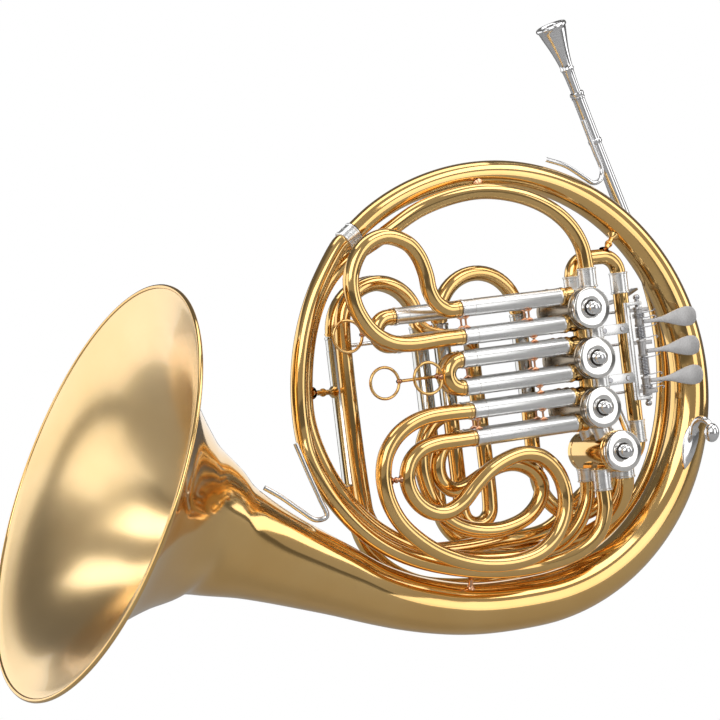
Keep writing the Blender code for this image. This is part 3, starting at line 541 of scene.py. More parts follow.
# ---- valves ------------------------------------------------------------------------------
def build_valve(label, x, z):
    """Casing with its rings, screw cap with a ball, and the bearing plate behind."""
    back = Vector((0.0, 1.0, 0.0))
    depth = CASING_BACK_Y - CASING_FRONT_Y
    casing = Piece("valve_casing_" + label)
    wall = [(13.4, 0.0), (15.6, 0.0), (CASING_R, 0.4), (CASING_R, 2.6), (15.3, 3.0), (15.3, 4.2),
            (CASING_R, 4.6), (CASING_R, depth - 6.0), (15.2, depth - 5.6), (15.2, depth - 4.8),
            (CASING_R, depth - 4.4), (CASING_R, depth - 0.5), (15.4, depth), (6.4, depth),
            (6.0, depth + 0.9), (3.5, depth + 0.9), (3.5, depth - 1.8), (13.2, depth - 1.8), (13.2, 0.0),
            (13.4, 0.0)]
    casing.turn(wall, (x, CASING_FRONT_Y, z), back, "brass" if label == "change" else "casing", 64)
    casing.done("body", "satin_nickel", "casing_" + label)
    cap = Piece("valve_cap_" + label)
    disc = [(0.0, 0.0), (15.3, 0.0), (15.7, 0.3), (15.7, 3.2), (15.4, 3.7), (15.0, 3.9), (6.7, 4.0),
            (6.4, 3.8)]
    cap.turn(disc, (x, CASING_FRONT_Y - 0.4, z), -back, "polished", 72)
    # the shallow groove round the ball is coloured near-black: painted shade in the recess
    cap.turn([(6.4, 3.8), (6.1, 3.4), (5.0, 3.4), (4.8, 3.7)], (x, CASING_FRONT_Y - 0.4, z), -back, "dark",
             72)
    ball = [(4.8, 3.7), (4.2, 4.1), (3.6, 4.6)]
    for i in range(13):
        angle = math.radians(-50.0 + 140.0 * i / 12)
        ball.append((max(5.0 * math.cos(angle), 0.0), 7.4 + 3.6 * math.sin(angle)))
    cap.turn(ball, (x, CASING_FRONT_Y - 0.4, z), -back, "silver", 48)
    cap.done("body", "polished_nickel", "cap_" + label)
    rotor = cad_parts["rotor_" + label]
    rotor.data.materials.clear()
    rotor.data.materials.append(SHINE["raw"])
    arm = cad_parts["stop_arm_" + label]
    arm.data.materials.clear()
    arm.data.materials.append(SHINE["steel"])


def cone_to_casing(piece, z, y, kind="brass"):
    """The short tapered neck between a slide sleeve and its casing."""
    neck = [(5.4, 0.0), (6.7, 0.3), (7.1, 0.9), (7.1, 2.2), (6.6, 2.8), (6.4, 5.4), (6.9, 8.0), (6.9, 9.5)]
    piece.turn(neck, (SLEEVE_RIGHT_X - 0.6, y, z), (1.0, 0.0, 0.0), kind)


def build_knuckles():
    """Necks and knuckles that join the casings to the slides and to each other."""
    piece = Piece("valve_knuckles")
    for top, low in SLIDE_PAIRS:
        for z in (top, low):
            cone_to_casing(piece, z, FRONT_Y)
            cone_to_casing(piece, z, MIDDLE_Y)
    for upper, lower in zip(VALVE_Z, VALVE_Z[1:]):
        middle = (upper + lower) / 2
        for y, kind in ((FRONT_Y, "nickel"), (MIDDLE_Y, "brass")):
            piece.sweep([(72.0, y, middle + 9.0), (72.5, y, middle + 5.0), (73.0, y, middle),
                         (72.5, y, middle - 5.0), (72.0, y, middle - 9.0)], kind, 6.3)
            bead_at(piece, (73.0, y, middle + 3.4), (0.0, 0.0, 1.0), 6.3, kind)
            bead_at(piece, (73.0, y, middle - 3.4), (0.0, 0.0, 1.0), 6.3, kind)
    for y in (FRONT_Y, MIDDLE_Y):
        piece.sweep([(66.0, y, -28.0), (67.5, y, -34.0), (69.0, y, -40.0)], "nickel", 6.2)
    piece.done("body", "lacquered_brass")


def build_valves():
    for number, z in enumerate(VALVE_Z, 1):
        build_valve(str(number), VALVE_X, z)
    build_valve("change", *CHANGE)
    build_knuckles()


# ---- slides ------------------------------------------------------------------------------
def sleeve(piece, start, end, kind="nickel"):
    """A bright outer slide sleeve with a turned ring at its mouth and a fine seam further along."""
    start = Vector(start)
    end = Vector(end)
    length = (end - start).length
    r = SLEEVE_R
    profile = [(5.7, 1.0), (5.7, 0.0), (r - 0.5, 0.0), (r + 0.1, 0.2), (r + 0.2, 0.6), (r + 0.2, 2.0),
               (r - 0.2, 2.4), (r - 0.15, 10.6), (r - 0.45, 10.8), (r - 0.45, 11.1), (r, 11.3),
               (r, length - 3.0), (r + 0.25, length - 2.6), (r + 0.25, length - 0.8), (r - 0.4, length),
               (5.7, length), (5.7, 1.0)]
    piece.turn(profile, start, end - start, kind, 36)


def flange(piece, x, y, z, up, kind="rose"):
    """A small leaf-shaped foot soldered to a tube, which a stay stands on."""
    sign = 1.0 if up else -1.0
    rise = [(0.0, -0.9), (3.0, -0.5), (2.5, 0.2), (1.5, 1.0), (0.9, 2.0), (0.7, 3.0), (0.0, 3.1)]
    piece.turn([(r * 0.55, h) for r, h in rise], (x, y, z), (0.0, 0.0, sign), kind, 20)
    leaf = [(x - 4.6, z - sign * 0.7), (x, z + sign * 2.2), (x + 4.6, z - sign * 0.7)]
    if sign < 0:
        leaf.reverse()
    piece.flat(leaf, y, 1.6, kind, 0.25)
    piece.turn([(3.6, -0.8), (3.0, -0.1), (1.4, 0.4), (0.0, 0.5)], (x, y, z), (0.0, 0.0, sign), kind, 24)


def stay(piece, x, y, z_low, z_top, tube_r=SLEEVE_R, kind="rose"):
    """A short wire stay between two parallel tubes, on two small feet."""
    foot = tube_r - 0.1
    piece.bar((x, y, z_low + foot), (x, y, z_top - foot), 0.8, kind, 16)
    flange(piece, x, y, z_low + foot, True, kind)
    flange(piece, x, y, z_top - foot, False, kind)


def build_sleeves():
    front_stays = ((-37.0, 17.0), (17.0,), (-37.0, 19.0))
    for i, (z_top, z_low) in enumerate(SLIDE_PAIRS):
        number = i + 1
        front = Piece("front_sleeves_%d" % number)
        back = Piece("back_sleeves_%d" % number)
        for z in (z_top, z_low):
            sleeve(front, (F_SLEEVE_LEFT_X[i], FRONT_Y, z), (SLEEVE_RIGHT_X, FRONT_Y, z))
            sleeve(back, (B_SLEEVE_LEFT_X[i], MIDDLE_Y, z), (SLEEVE_RIGHT_X, MIDDLE_Y, z))
        for x in front_stays[i]:
            stay(front, x, FRONT_Y, z_low, z_top)
        for x in (-30.0, 25.0):
            stay(back, x, MIDDLE_Y, z_low, z_top)
        front.done("body", "satin_nickel", "f_sleeves_%d" % number)
        back.done("body", "satin_nickel", "b_sleeves_%d" % number)
    between = Piece("stays_between_slides")
    stay(between, 19.0, FRONT_Y, 33.4, 50.3)
    stay(between, 19.0, FRONT_Y, -5.4, 12.5)
    between.done("body", "lacquered_brass")
    uprights = (("main", MAIN_Y, -118.5, -47.2, -51.6), ("f_tuning", BACK_Y, -35.0, 33.5, -5.6))
    for label, y, left_x, right_x, left_low in uprights:
        piece = Piece(label + "_slide_sleeves")
        sleeve(piece, (left_x, y, 62.0), (left_x, y, left_low), "mirror")
        sleeve(piece, (right_x, y, 62.0), (right_x, y, -5.6), "mirror")
        piece.bar((left_x + 6.2, y, 53.5), (right_x - 6.2, y, 53.5), 1.5, "nickel")
        for x, ahead in ((left_x + 6.2, 1.0), (right_x - 6.2, -1.0)):
            piece.turn([(3.6, -0.6), (3.4, 0.6), (2.2, 1.2), (1.7, 2.6), (1.4, 2.7)], (x, y, 53.5),
                       (ahead, 0.0, 0.0), "nickel", 24)
        piece.done("body", "satin_nickel", label + "_sleeves")


def trimmed(knots, face):
    """The knots of a crook without those that stand inside or right at its sleeve."""
    while knots[0][0] > face - 3.0:
        knots = knots[1:]
    while knots[-1][0] > face - 3.0:
        knots = knots[:-1]
    return knots


def crook(label, y, left_x, pair, knots, leg_end, rings=()):
    """A slide crook with a bead where each leg enters its sleeve, and its pull rings."""
    z_top, z_low = pair
    face = left_x - 0.4
    piece = Piece(label + "_slide")
    top = [(face, y, z_top), (face - 1.5, y, z_top)]
    low = [(face - 1.5, y, z_low), (face, y, z_low)]
    body = top + trimmed(knots, face) + low
    piece.sweep(smooth_route(body, 6), "brass", sides=32)
    for z in (z_top, z_low):
        piece.bar((leg_end, y, z), (face, y, z), 5.2, "polished", 24)
        bead_at(piece, (face - 1.6, y, z), (1.0, 0.0, 0.0), TUBE_R, "brass", 2.2, 0.45)
    for centre_x, post_end in rings:
        pull_ring(piece, centre_x, (z_top + z_low) / 2, y, post_end)
    if label == "f_crook_3":
        piece.bar((-114.0, y, -48.0), (-105.6, y, -48.0), 1.5, "rose", 16)
        bead_at(piece, (-109.8, y, -48.0), (1.0, 0.0, 0.0), 1.5, "rose", 2.4, 0.9)
        for x, ahead in ((-113.6, 1.0), (-106.0, -1.0)):
            piece.turn([(3.4, -0.6), (3.0, 0.4), (1.9, 1.2), (1.5, 2.2)], (x, y, -48.0), (ahead, 0.0, 0.0),
                       "rose", 24)
    piece.done(label, "lacquered_brass", label)


def pull_ring(piece, centre_x, z, y, post_end):
    radius = 11.7
    loop = arc(centre_x, z, radius, 0.0, 352.5, y, 7.5)
    loop.append(loop[0])
    piece.sweep(loop, "brass", 1.15, 14, caps=False)
    piece.bar((centre_x + radius - 0.4, y, z), (post_end, y, z), 1.25, "brass", 14)
    piece.turn([(2.6, -0.3), (2.4, 1.0), (1.4, 2.4), (1.1, 4.0)], (post_end, y, z), (-1.0, 0.0, 0.0),
               "rose", 24)
    piece.turn([(1.1, -2.2), (1.9, -0.8), (1.9, 0.8), (1.1, 2.2)], (centre_x + radius + 0.4, y, z),
               (1.0, 0.0, 0.0), "rose", 20)


def build_crooks():
    teardrop = flat_knots([(-51.0, 71.5), (-59.5, 77.5), (-64.0, 87.0), (-65.5, 100.0), (-70.0, 114.0),
                           (-78.0, 124.0), (-96.0, 130.5), (-114.0, 124.0), (-126.0, 105.0), (-126.5, 86.0),
                           (-122.0, 73.0), (-113.5, 61.0), (-101.0, 52.8), (-86.0, 49.8), (-60.0, 50.3)],
                          FRONT_Y)
    third = flat_knots([(-62.0, -4.8), (-80.0, -5.5), (-94.0, -9.5), (-106.0, -17.0), (-115.0, -28.0),
                        (-119.0, -40.0), (-119.5, -52.0), (-117.0, -65.0), (-110.5, -79.0), (-100.0, -91.5),
                        (-84.0, -104.5), (-63.0, -115.0), (-40.0, -121.0), (-15.0, -122.0), (4.0, -117.5),
                        (19.0, -106.5), (28.0, -90.0), (29.5, -74.0), (25.0, -59.5), (14.0, -47.5),
                        (-1.0, -43.0), (-16.0, -45.0), (-32.0, -51.5), (-46.0, -61.5), (-57.5, -71.5),
                        (-70.0, -77.0), (-82.0, -76.0), (-92.5, -69.0), (-99.0, -58.5), (-100.5, -47.0),
                        (-96.0, -36.0), (-87.0, -28.8), (-74.0, -25.8), (-57.0, -25.7)], FRONT_Y)
    third_back = flat_knots([(-54.0, -6.5), (-66.0, -13.0), (-74.0, -26.0), (-77.0, -42.0), (-75.5, -56.0),
                             (-71.0, -70.0), (-62.0, -83.5), (-50.0, -92.0), (-32.0, -97.5), (-12.0, -97.8),
                             (7.0, -92.0), (19.0, -81.0), (22.0, -69.0), (16.0, -58.0), (3.0, -51.0),
                             (-12.0, -50.5), (-28.0, -56.0), (-42.0, -62.0), (-54.0, -63.0), (-62.5, -55.0),
                             (-64.0, -43.5), (-59.5, -32.5), (-51.5, -26.8)], MIDDLE_Y)
    f_second = arc(-46.5, 22.95, 10.45, 90.0, 270.0, FRONT_Y, 15.0)
    b_first = arc(-91.0, 60.75, 10.45, 90.0, 270.0, MIDDLE_Y, 15.0)
    b_second = arc(-39.5, 22.95, 10.45, 90.0, 270.0, MIDDLE_Y, 15.0)
    crook("f_crook_1", FRONT_Y, F_SLEEVE_LEFT_X[0], SLIDE_PAIRS[0], teardrop, 12.0)
    crook("f_crook_2", FRONT_Y, F_SLEEVE_LEFT_X[1], SLIDE_PAIRS[1], f_second, 8.0, ((-73.5, -62.0),))
    crook("f_crook_3", FRONT_Y, F_SLEEVE_LEFT_X[2], SLIDE_PAIRS[2], third, 12.0)
    crook("b_crook_1", MIDDLE_Y, B_SLEEVE_LEFT_X[0], SLIDE_PAIRS[0], b_first, -30.0, ((-125.0, -106.5),))
    crook("b_crook_2", MIDDLE_Y, B_SLEEVE_LEFT_X[1], SLIDE_PAIRS[1], b_second, 12.0, ((-99.5, -55.0),))
    crook("b_crook_3", MIDDLE_Y, B_SLEEVE_LEFT_X[2], SLIDE_PAIRS[2], third_back, 6.0)
    for label, y, left_x, right_x in (("main_bow", MAIN_Y, -118.5, -47.2),
                                      ("f_tuning_bow", BACK_Y, -35.0, 33.5)):
        face = 62.4
        piece = Piece(label + "_slide")
        bend = [(left_x, y, face)] + arc((left_x + right_x) / 2, face + 0.6, (right_x - left_x) / 2, 180.0,
                                         0.0, y)
        piece.sweep(bend + [(right_x, y, face)], "brass", sides=32)
        for x in (left_x, right_x):
            piece.bar((x, y, 14.0), (x, y, face), 5.2, "polished", 24)
            bead_at(piece, (x, y, face + 1.6), (0.0, 0.0, 1.0), TUBE_R, "brass", 2.2, 0.45)
        piece.done(label, "lacquered_brass", label)


# ---- levers ------------------------------------------------------------------------------
def paddle_outline(z):
    """Arm and touch-piece of a lever, seen from the front: a slim arm that widens to a rounded spoon."""
    half = [(2.0, 1.6), (14.0, 1.7), (19.0, 2.4), (24.0, 3.7), (29.0, 5.3), (34.0, 6.7), (38.0, 7.5),
            (42.0, 7.8), (45.0, 7.4), (47.5, 6.3), (49.2, 4.4), (50.0, 2.2), (50.2, 0.0)]
    upper = [(ROD_X + x, z + h) for x, h in half]
    lower = [(ROD_X + x, z - h) for x, h in reversed(half[:-1])]
    return upper + lower


def build_levers():
    hubs = ((40.8, 56.2), (17.6, 31.0), (-12.6, 2.2))
    reach = TAIL_REACH
    for number, (z, link_z, (hub_low, hub_high)) in enumerate(zip(LEVER_Z, LINK_Z, hubs), 1):
        piece = Piece("finger_lever_%d" % number)
        piece.flat(paddle_outline(z), ROD_Y - 3.6, 1.7, "lever", 0.45)
        length = hub_high - hub_low
        hub = [(2.2, 0.0), (3.4, 0.0), (3.7, 0.4), (3.7, 1.8), (3.2, 2.2), (3.2, length - 2.2),
               (3.7, length - 1.8), (3.7, length - 0.4), (3.4, length), (2.2, length), (2.2, 0.0)]
        piece.turn(hub, (ROD_X, ROD_Y, hub_low), (0.0, 0.0, 1.0), "lever", 32)
        piece.block((ROD_X + 1.5, ROD_Y - 1.3, link_z - 1.6), (ROD_X + reach + 1.2, ROD_Y + 1.3,
                                                               link_z + 1.6), "lever")
        piece.block((ROD_X + reach - 1.2, ROD_Y - 1.4, link_z - 1.5),
                    (ROD_X + reach + 1.2, LINK_Y + 2.4, link_z + 1.5), "lever")
        piece.bar((ROD_X + reach, LINK_Y, link_z - 2.3), (ROD_X + reach, LINK_Y, link_z + 2.3), 1.7,
                  "steel", 20)
        piece.done("lever_%d" % number, "matte_lever", "lever_%d" % number)
        link = Piece("link_rod_%d" % number)
        left = VALVE_X + 5.1
        right = ROD_X + reach - 2.1
        link.bar((left, LINK_Y + 3.0, link_z), (right, LINK_Y + 0.8, link_z), 1.05, "steel", 16)
        link.turn([(2.6, -1.3), (2.6, 1.3)], (left, LINK_Y + 3.0, link_z), (0.0, 1.0, 0.0), "steel", 24,
                  caps=True)
        link.done("link_%d" % number, "steel", "link_%d" % number)


def build_rack():
    """Hinge rod with its finials and the channel, lugs and straps that carry it."""
    piece = Piece("lever_hinge_rod")
    low, high = -21.0, 66.0
    profile = [(0.0, high), (1.3, high - 0.1), (2.3, high - 0.9), (2.7, high - 2.2), (2.3, high - 3.4),
               (1.5, high - 4.0), (1.5, high - 4.5), (2.2, high - 4.8), (1.85, high - 5.2),
               (1.85, low + 5.2), (2.2, low + 4.8), (1.5, low + 4.5), (1.5, low + 4.0), (2.3, low + 3.4),
               (2.7, low + 2.2), (2.3, low + 0.9), (1.3, low + 0.1), (0.0, low)]
    piece.turn(profile, (ROD_X, ROD_Y, 0.0), (0.0, 0.0, 1.0), "steel", 32)
    piece.done("body", "steel", "lever_rod")
    rack = Piece("lever_channel")
    rack.block((107.5, -26.0, -15.5), (110.5, -21.5, 60.5), "nickel", 0.5)
    for z in (-15.6, 57.8):
        lug = arc(ROD_X, 0.0, 3.4, -90.0, 90.0, 0.0, 20.0)
        outline = [(108.0, -3.4)] + [(x, h) for x, _, h in lug] + [(108.0, 3.4)]
        turned = Matrix.Translation((0.0, ROD_Y, z + 1.3)) @ Matrix.Rotation(math.radians(90.0), 4, "X")
        rack.flat(outline, 0.0, 2.6, "nickel", 0.4, turned)
    for z in (41.0, 2.5):
        rack.block((81.0, -25.2, z - 4.0), (108.5, -23.4, z + 4.0), "nickel", 0.5)
        rack.turn([(0.0, 0.9), (1.7, 0.8), (2.2, 0.0)], (86.0, -25.2, z), (0.0, -1.0, 0.0), "steel", 24)
        rack.turn([(0.0, 0.9), (1.7, 0.8), (2.2, 0.0)], (102.0, -25.2, z), (0.0, -1.0, 0.0), "steel", 24)
    rack.done("body", "steel", "lever_rack")


def coil(piece, bottom, top, radius):
    """A close-wound spring round the rod, with a straight hooked leg at each end."""
    turns = max(2.5, (top - bottom) / 1.15)
    count = int(turns * 16)
    for z, lift in ((bottom, -1.0), (top, 1.0)):
        leg = [(ROD_X + 1.0, ROD_Y - radius, z), (ROD_X + 5.0, ROD_Y - radius - 0.6, z + 0.1),
               (ROD_X + 11.0, ROD_Y - radius - 0.9, z + 0.9), (ROD_X + 12.4, ROD_Y - radius - 1.2,
                                                               z + 0.7 + lift * 0.9),
               (ROD_X + 10.4, ROD_Y - radius - 1.6, z + 0.4 + lift * 1.3)]
        piece.sweep(smooth_route(leg, 4), "steel", 0.42, 8)
    wire = []
    for i in range(count + 1):
        angle = math.tau * turns * i / count - math.pi / 2
        wire.append((ROD_X + radius * math.cos(angle), ROD_Y + radius * math.sin(angle),
                     bottom + (top - bottom) * i / count))
    piece.sweep(wire, "steel", 0.46, 8)


def build_springs():
    for bottom, top, name in ((31.8, 40.2, "lever_spring_1"), (3.4, 16.8, "lever_spring_2")):
        piece = Piece("coil_" + name)
        coil(piece, bottom, top, 3.6)
        piece.done("body", "steel", name, angle=80.0)
    short = Piece("short_lever_springs")
    for bottom, top in ((47.4, 51.4), (-7.4, -4.4)):
        coil(short, bottom, top, 4.35)
    short.done("body", "steel", angle=80.0)


def build_thumb_lever():
    x, y = 108.5, 23.0
    arm_z = -44.8
    reach = 28.0
    piece = Piece("thumb_key")
    piece.bar((x, y, arm_z - 4.0), (x, y, 72.0), 2.0, "lever", 24)
    outline = [(x, 58.5), (x + 11.0, 60.2), (x + 22.0, 62.5), (x + 31.0, 66.2), (x + 38.2, 69.6),
               (x + 37.5, 71.2), (x + 30.2, 68.2), (x + 21.4, 64.5), (x + 10.0, 62.6), (x, 61.5)]
    piece.flat(outline, y - 1.0, 11.0, "lever", 0.5)
    for z in (56.0, -40.5):
        piece.turn([(2.1, 0.0), (3.2, 0.2), (3.2, 3.0), (2.1, 3.2)], (x, y, z), (0.0, 0.0, 1.0), "lever", 24)
    piece.block((x - 1.2, y, arm_z - 1.8), (x + 1.2, y + reach + 2.0, arm_z + 1.8), "lever")
    piece.bar((x, y + reach, arm_z - 2.6), (x, y + reach, arm_z + 2.6), 1.7, "steel", 20)
    piece.done("thumb_lever", "matte_lever", "thumb_lever")
    link = Piece("link_rod_change")
    left = (CHANGE[0] - 5.1, LINK_Y + 3.0, arm_z)
    link.bar(left, (x - 3.0, y + reach, arm_z), 1.05, "steel", 16)
    link.turn([(2.6, -1.3), (2.6, 1.3)], left, (0.0, 1.0, 0.0), "steel", 24, caps=True)
    link.done("link_change", "steel", "link_change")


# ---- mouthpiece, braces and hook -------------------------------------------------------
def build_mouthpiece():
    top = RECEIVER_TOP
    receiver = Piece("mouthpiece_receiver")
    sleeve_profile = [(4.4, -0.3), (5.2, 0.0), (5.7, -0.5), (5.8, -2.4), (5.3, -3.2), (5.0, -3.6),
                      (5.5, -4.2), (5.5, -5.2), (4.9, -5.8), (4.8, -40.0), (5.5, -40.6), (5.6, -43.0),
                      (4.9, -44.0), (2.6, -44.0), (4.3, -0.3), (4.4, -0.3)]
    receiver.turn(sleeve_profile, top, RECEIVER_AXIS, "silver", 40)
    receiver.done("body", "silver", "receiver")
    cup = Piece("horn_mouthpiece")
    outside = [(8.6, 56.0), (9.3, 56.7), (10.4, 57.1), (11.5, 56.9), (12.3, 56.3), (12.7, 55.3),
               (12.6, 54.3), (12.1, 53.6), (11.5, 53.0), (11.1, 51.5), (10.6, 49.4), (9.6, 45.4),
               (8.4, 40.6), (7.2, 35.4), (6.2, 30.0), (5.4, 24.6), (5.0, 21.0), (5.5, 20.4), (5.6, 19.4),
               (5.0, 18.7), (4.7, 17.4), (4.3, 12.0), (3.9, 0.0), (3.0, -20.0), (2.0, -20.0), (2.0, 20.0),
               (3.2, 32.0), (5.2, 41.0), (6.8, 47.0), (8.1, 52.0), (8.4, 54.6), (8.6, 56.0)]
    cup.turn(outside, top, RECEIVER_AXIS, "silver", 56)
    cup.done("mouthpiece", "silver", "mouthpiece", angle=50.0)


def build_braces():
    brace = Piece("leadpipe_stay")
    knots = [(66.0, -1.0, 178.5), (84.0, 0.0, 172.0), (102.0, 4.0, 161.5), (111.0, 7.0, 157.2),
             (119.5, 9.5, 159.5), (122.5, 11.0, 167.0), (117.5, 10.5, 183.0), (109.5, 9.0, 207.0)]
    brace.sweep(smooth_route(knots), "silver", 1.9, 20)
    brace.done("body", "silver", "leadpipe_brace")
    brace = Piece("bell_stay")
    knots = [(-203.0, -6.0, -41.0), (-191.0, -8.0, -50.0), (-178.0, -9.5, -61.5), (-168.0, -11.5, -69.5),
             (-160.0, -13.5, -68.0), (-163.5, -13.8, -55.0), (-169.0, -13.0, -38.0), (-176.5, -11.0, -12.0)]
    brace.sweep(smooth_route(knots), "silver", 1.9, 20)
    brace.done("body", "silver", "bell_brace")


def post(piece, start, end, radius, kind, collar=True):
    """A short turned post between two tubes, flared at its feet, with a collar half way."""
    start = Vector(start)
    end = Vector(end)
    length = (end - start).length
    along = (end - start) / length
    foot = min(length * 0.3, radius * 1.8)
    flare = [(radius * 2.3, -0.8), (radius * 2.1, 0.0), (radius * 1.25, foot * 0.5), (radius, foot)]
    piece.turn(flare, start, along, kind, 28)
    piece.turn(flare, end, -along, kind, 28)
    piece.bar(start, end, radius, kind, 24)
    if collar:
        bead_at(piece, (start + end) / 2, along, radius, kind, radius * 1.5, radius * 0.55)


def build_small_stays():
    piece = Piece("ring_stays")
    post(piece, (102.0, -12.5, 102.5), (115.4, -5.0, 113.0), 2.0, "brass")
    post(piece, (-147.4, 13.5, 22.0), (-125.0, 26.0, 20.5), 2.1, "brass")
    post(piece, (1.0, -15.5, 159.4), (1.0, -8.0, 164.0), 1.8, "rose", False)
    post(piece, (-48.0, -13.5, -129.2), (-48.0, -9.5, -138.6), 1.8, "rose", False)
    piece.done("body", "lacquered_brass")
    struts = Piece("change_valve_struts")
    struts.bar((84.5, -24.0, -6.0), (99.0, -24.0, -52.0), 1.5, "brass", 16)
    struts.bar((87.5, -24.0, -6.0), (102.5, -24.0, -50.0), 0.8, "steel", 12)
    struts.done("body", "lacquered_brass")


def build_bearings():
    """The two bumper studs, each with a cork sleeve, that each stop arm meets."""
    places = [(VALVE_X, z, 1.0) for z in VALVE_Z] + [(*CHANGE, -1.0)]
    piece = Piece("cork_plates_and_bumpers")
    for x, z, lean in places:
        for rise in (-1.0, 1.0):
            spot = (x + lean * 2.6, CASING_BACK_Y - 0.2, z + rise * 12.6)
            piece.turn([(0.0, 0.0), (2.3, 0.0), (2.3, 1.4), (1.3, 1.5), (1.3, 5.4), (1.0, 5.8), (0.0, 5.8)],
                       spot, (0.0, 1.0, 0.0), "raw", 20)
            piece.turn([(1.3, 1.7), (1.9, 1.8), (1.9, 4.8), (1.3, 4.9)], spot, (0.0, 1.0, 0.0), "cork", 20)
    piece.done("body", "raw_brass")


def build_hook():
    """Little-finger hook: a leaf-shaped saddle on the ring, a strap that curls forwards and a round end."""
    piece = Piece("little_finger_hook")
    leaf = [(147.5, -75.3), (150.9, -72.6), (154.2, -69.3), (157.9, -64.2), (161.0, -58.3), (163.6, -52.4),
            (164.8, -47.4), (164.4, -43.2), (160.8, -41.2), (156.3, -41.8), (153.0, -45.0), (149.8, -50.5),
            (147.9, -57.0), (147.2, -62.0), (147.0, -69.0)]
    piece.flat(leaf, -18.1, 1.5, "silver", 0.5)
    strap = [(158.6, -18.6, -49.0, 2.6), (160.0, -20.6, -41.6, 3.2), (161.0, -25.6, -37.6, 3.0),
             (162.6, -31.6, -37.8, 2.5), (164.2, -35.2, -41.5, 2.2), (164.8, -36.0, -47.0, 2.0)]
    piece.sweep(smooth_route(strap), "silver", 3.0, 24)
    knob = [(5.9 * math.cos(math.radians(a)), 7.6 * math.sin(math.radians(a))) for a in range(-90, 91, 15)]
    knob[0] = (0.0, -7.6)
    knob[-1] = (0.0, 7.6)
    piece.turn(knob, (164.8, -36.0, -48.2), (0.1, 0.0, 1.0), "silver", 40)
    piece.done("body", "silver", "finger_hook", angle=60.0)


# ---- studio ------------------------------------------------------------------------------
def soft_box(name, place, aim, width, height, power):
    light = bpy.data.lights.new(name, "AREA")
    light.shape = "RECTANGLE"
    light.size = width
    light.size_y = height
    light.energy = power
    obj = bpy.data.objects.new(name, light)
    bpy.context.scene.collection.objects.link(obj)
    obj.location = place
    obj.rotation_euler = (Vector(aim) - Vector(place)).to_track_quat("-Z", "Y").to_euler()
    return obj


def glow_panel(name, place, aim, width, height, brightness):
    """A soft box set by how bright its face looks, not by its power."""
    return soft_box(name, place, aim, width, height, brightness * math.pi * width * height)


def split_by_camera(tree, seen_shader, other_shader, target):
    """Sends one shader to direct view and another to every reflection."""
    seen = tree.nodes.new("ShaderNodeLightPath")
    mix = tree.nodes.new("ShaderNodeMixShader")
    tree.links.new(seen.outputs["Is Camera Ray"], mix.inputs["Fac"])
    tree.links.new(other_shader, mix.inputs[1])
    tree.links.new(seen_shader, mix.inputs[2])
    tree.links.new(mix.outputs["Shader"], target)


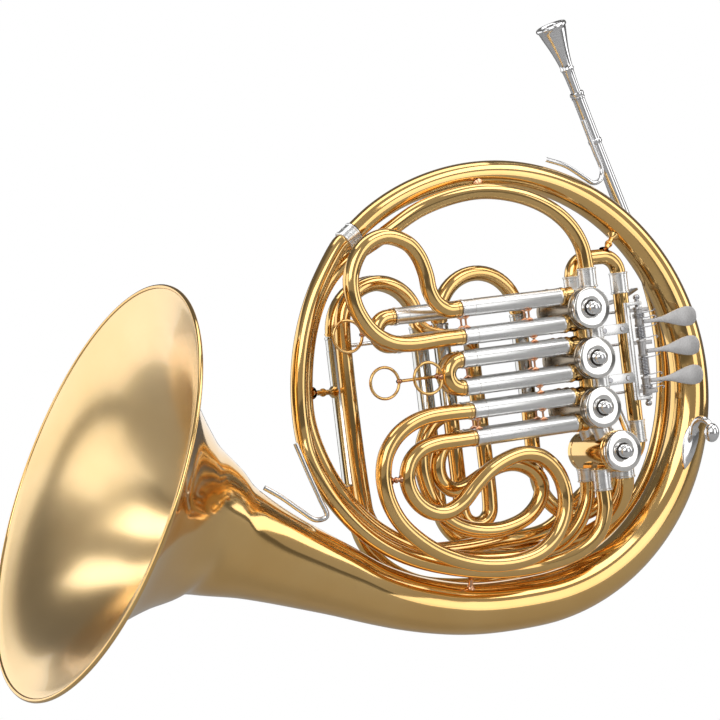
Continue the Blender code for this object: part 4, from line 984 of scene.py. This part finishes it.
def build_studio():
    world = bpy.data.worlds.new("studio")
    world.use_nodes = True
    bpy.context.scene.world = world
    tree = world.node_tree
    back = tree.nodes["Background"]
    back.inputs["Color"].default_value = (1.0, 1.0, 1.0, 1.0)
    dim = tree.nodes.new("ShaderNodeBackground")
    heading = tree.nodes.new("ShaderNodeTexCoord")
    parts = tree.nodes.new("ShaderNodeSeparateXYZ")
    shade = tree.nodes.new("ShaderNodeValToRGB")
    depth = tree.nodes.new("ShaderNodeMapRange")
    depth.inputs["From Min"].default_value = -1.0
    depth.inputs["From Max"].default_value = 1.0
    tones = ((0.0, 0.34), (0.30, 0.40), (0.42, 0.34), (0.58, 0.16), (1.0, 0.14))
    shade.color_ramp.elements.remove(shade.color_ramp.elements[1])
    for index, (place, tone) in enumerate(tones):
        stop = shade.color_ramp.elements[0] if index == 0 else shade.color_ramp.elements.new(place)
        stop.position = place
        stop.color = (tone, tone * 0.98, tone * 0.95, 1.0)
    tree.links.new(heading.outputs["Generated"], parts.inputs["Vector"])
    tree.links.new(parts.outputs["Y"], depth.inputs["Value"])
    tree.links.new(depth.outputs["Result"], shade.inputs["Fac"])
    tree.links.new(shade.outputs["Color"], dim.inputs["Color"])
    split_by_camera(tree, back.outputs["Background"], dim.outputs["Background"],
                    tree.nodes["World Output"].inputs["Surface"])
    panels = (("key_left", (-1.3, -1.8, 1.1), 1.5, 1.3, 2.2), ("front_right", (0.95, -1.9, 0.15), 0.9, 1.3,
                                                               1.3),
              ("front_top", (0.8, -1.2, 1.5), 1.7, 0.9, 2.2), ("side_right", (2.1, -0.5, 0.6), 0.8, 1.8,
                                                               1.7),
              ("top", (-0.1, 0.1, 1.9), 2.2, 0.9, 1.9), ("side_left", (-2.3, -0.4, 0.2), 1.3, 1.7, 1.1),
              ("back_left", (-1.7, 1.7, 0.3), 2.6, 1.9, 1.15), ("back_right", (1.2, 1.9, 0.5), 1.4, 1.0,
                                                                0.9))
    for name, place, width, height, brightness in panels:
        glow_panel(name, place, (-0.1, 0.0, 0.0), width, height, brightness)

    floor_mesh = bpy.data.meshes.new("studio_floor")
    half, low = 40.0, -0.42
    floor_mesh.from_pydata([(-half, -half, low), (half, -half, low), (half, half, low), (-half, half, low)],
                           [], [(0, 1, 2, 3)])
    floor = bpy.data.objects.new("studio_floor", floor_mesh)
    bpy.context.scene.collection.objects.link(floor)
    mat, shader = shader_material("pale_floor", (0.42, 0.42, 0.42), 0.9, 0.0)
    white = mat.node_tree.nodes.new("ShaderNodeEmission")
    split_by_camera(mat.node_tree, white.outputs["Emission"], shader.outputs["BSDF"],
                    mat.node_tree.nodes["Material Output"].inputs["Surface"])
    floor_mesh.materials.append(mat)
    bpy.context.scene.view_settings.view_transform = "Standard"


def build_camera():
    """A long lens nearly level with the horn, off its front towards the bell, rolled a little."""
    azimuth, elevation, roll = (math.radians(v) for v in (-25.0, 0.8, 6.9))
    distance, lens = 1.8, 117.6
    aim_x, aim_z = -0.10557, 0.02907
    back = Vector((math.sin(azimuth) * math.cos(elevation), -math.cos(azimuth) * math.cos(elevation),
                   math.sin(elevation)))
    level = Vector((math.cos(azimuth), math.sin(azimuth), 0.0))
    upright = back.cross(level)
    right = math.cos(roll) * level - math.sin(roll) * upright
    up = math.sin(roll) * level + math.cos(roll) * upright
    camera = bpy.data.cameras.new("photo_view")
    camera.lens = lens
    camera.sensor_width = 36.0
    obj = bpy.data.objects.new("photo_view", camera)
    bpy.context.scene.collection.objects.link(obj)
    turn = Matrix((right, up, back)).transposed().to_4x4()
    obj.matrix_world = Matrix.Translation(back * distance + right * aim_x + up * aim_z) @ turn
    bpy.context.scene.camera = obj


build_studio()
build_camera()
build_body_tubes(build_bell())
build_valves()
build_sleeves()
build_crooks()
build_levers()
build_rack()
build_springs()
build_thumb_lever()
build_mouthpiece()
build_braces()
build_small_stays()
build_bearings()
build_hook()
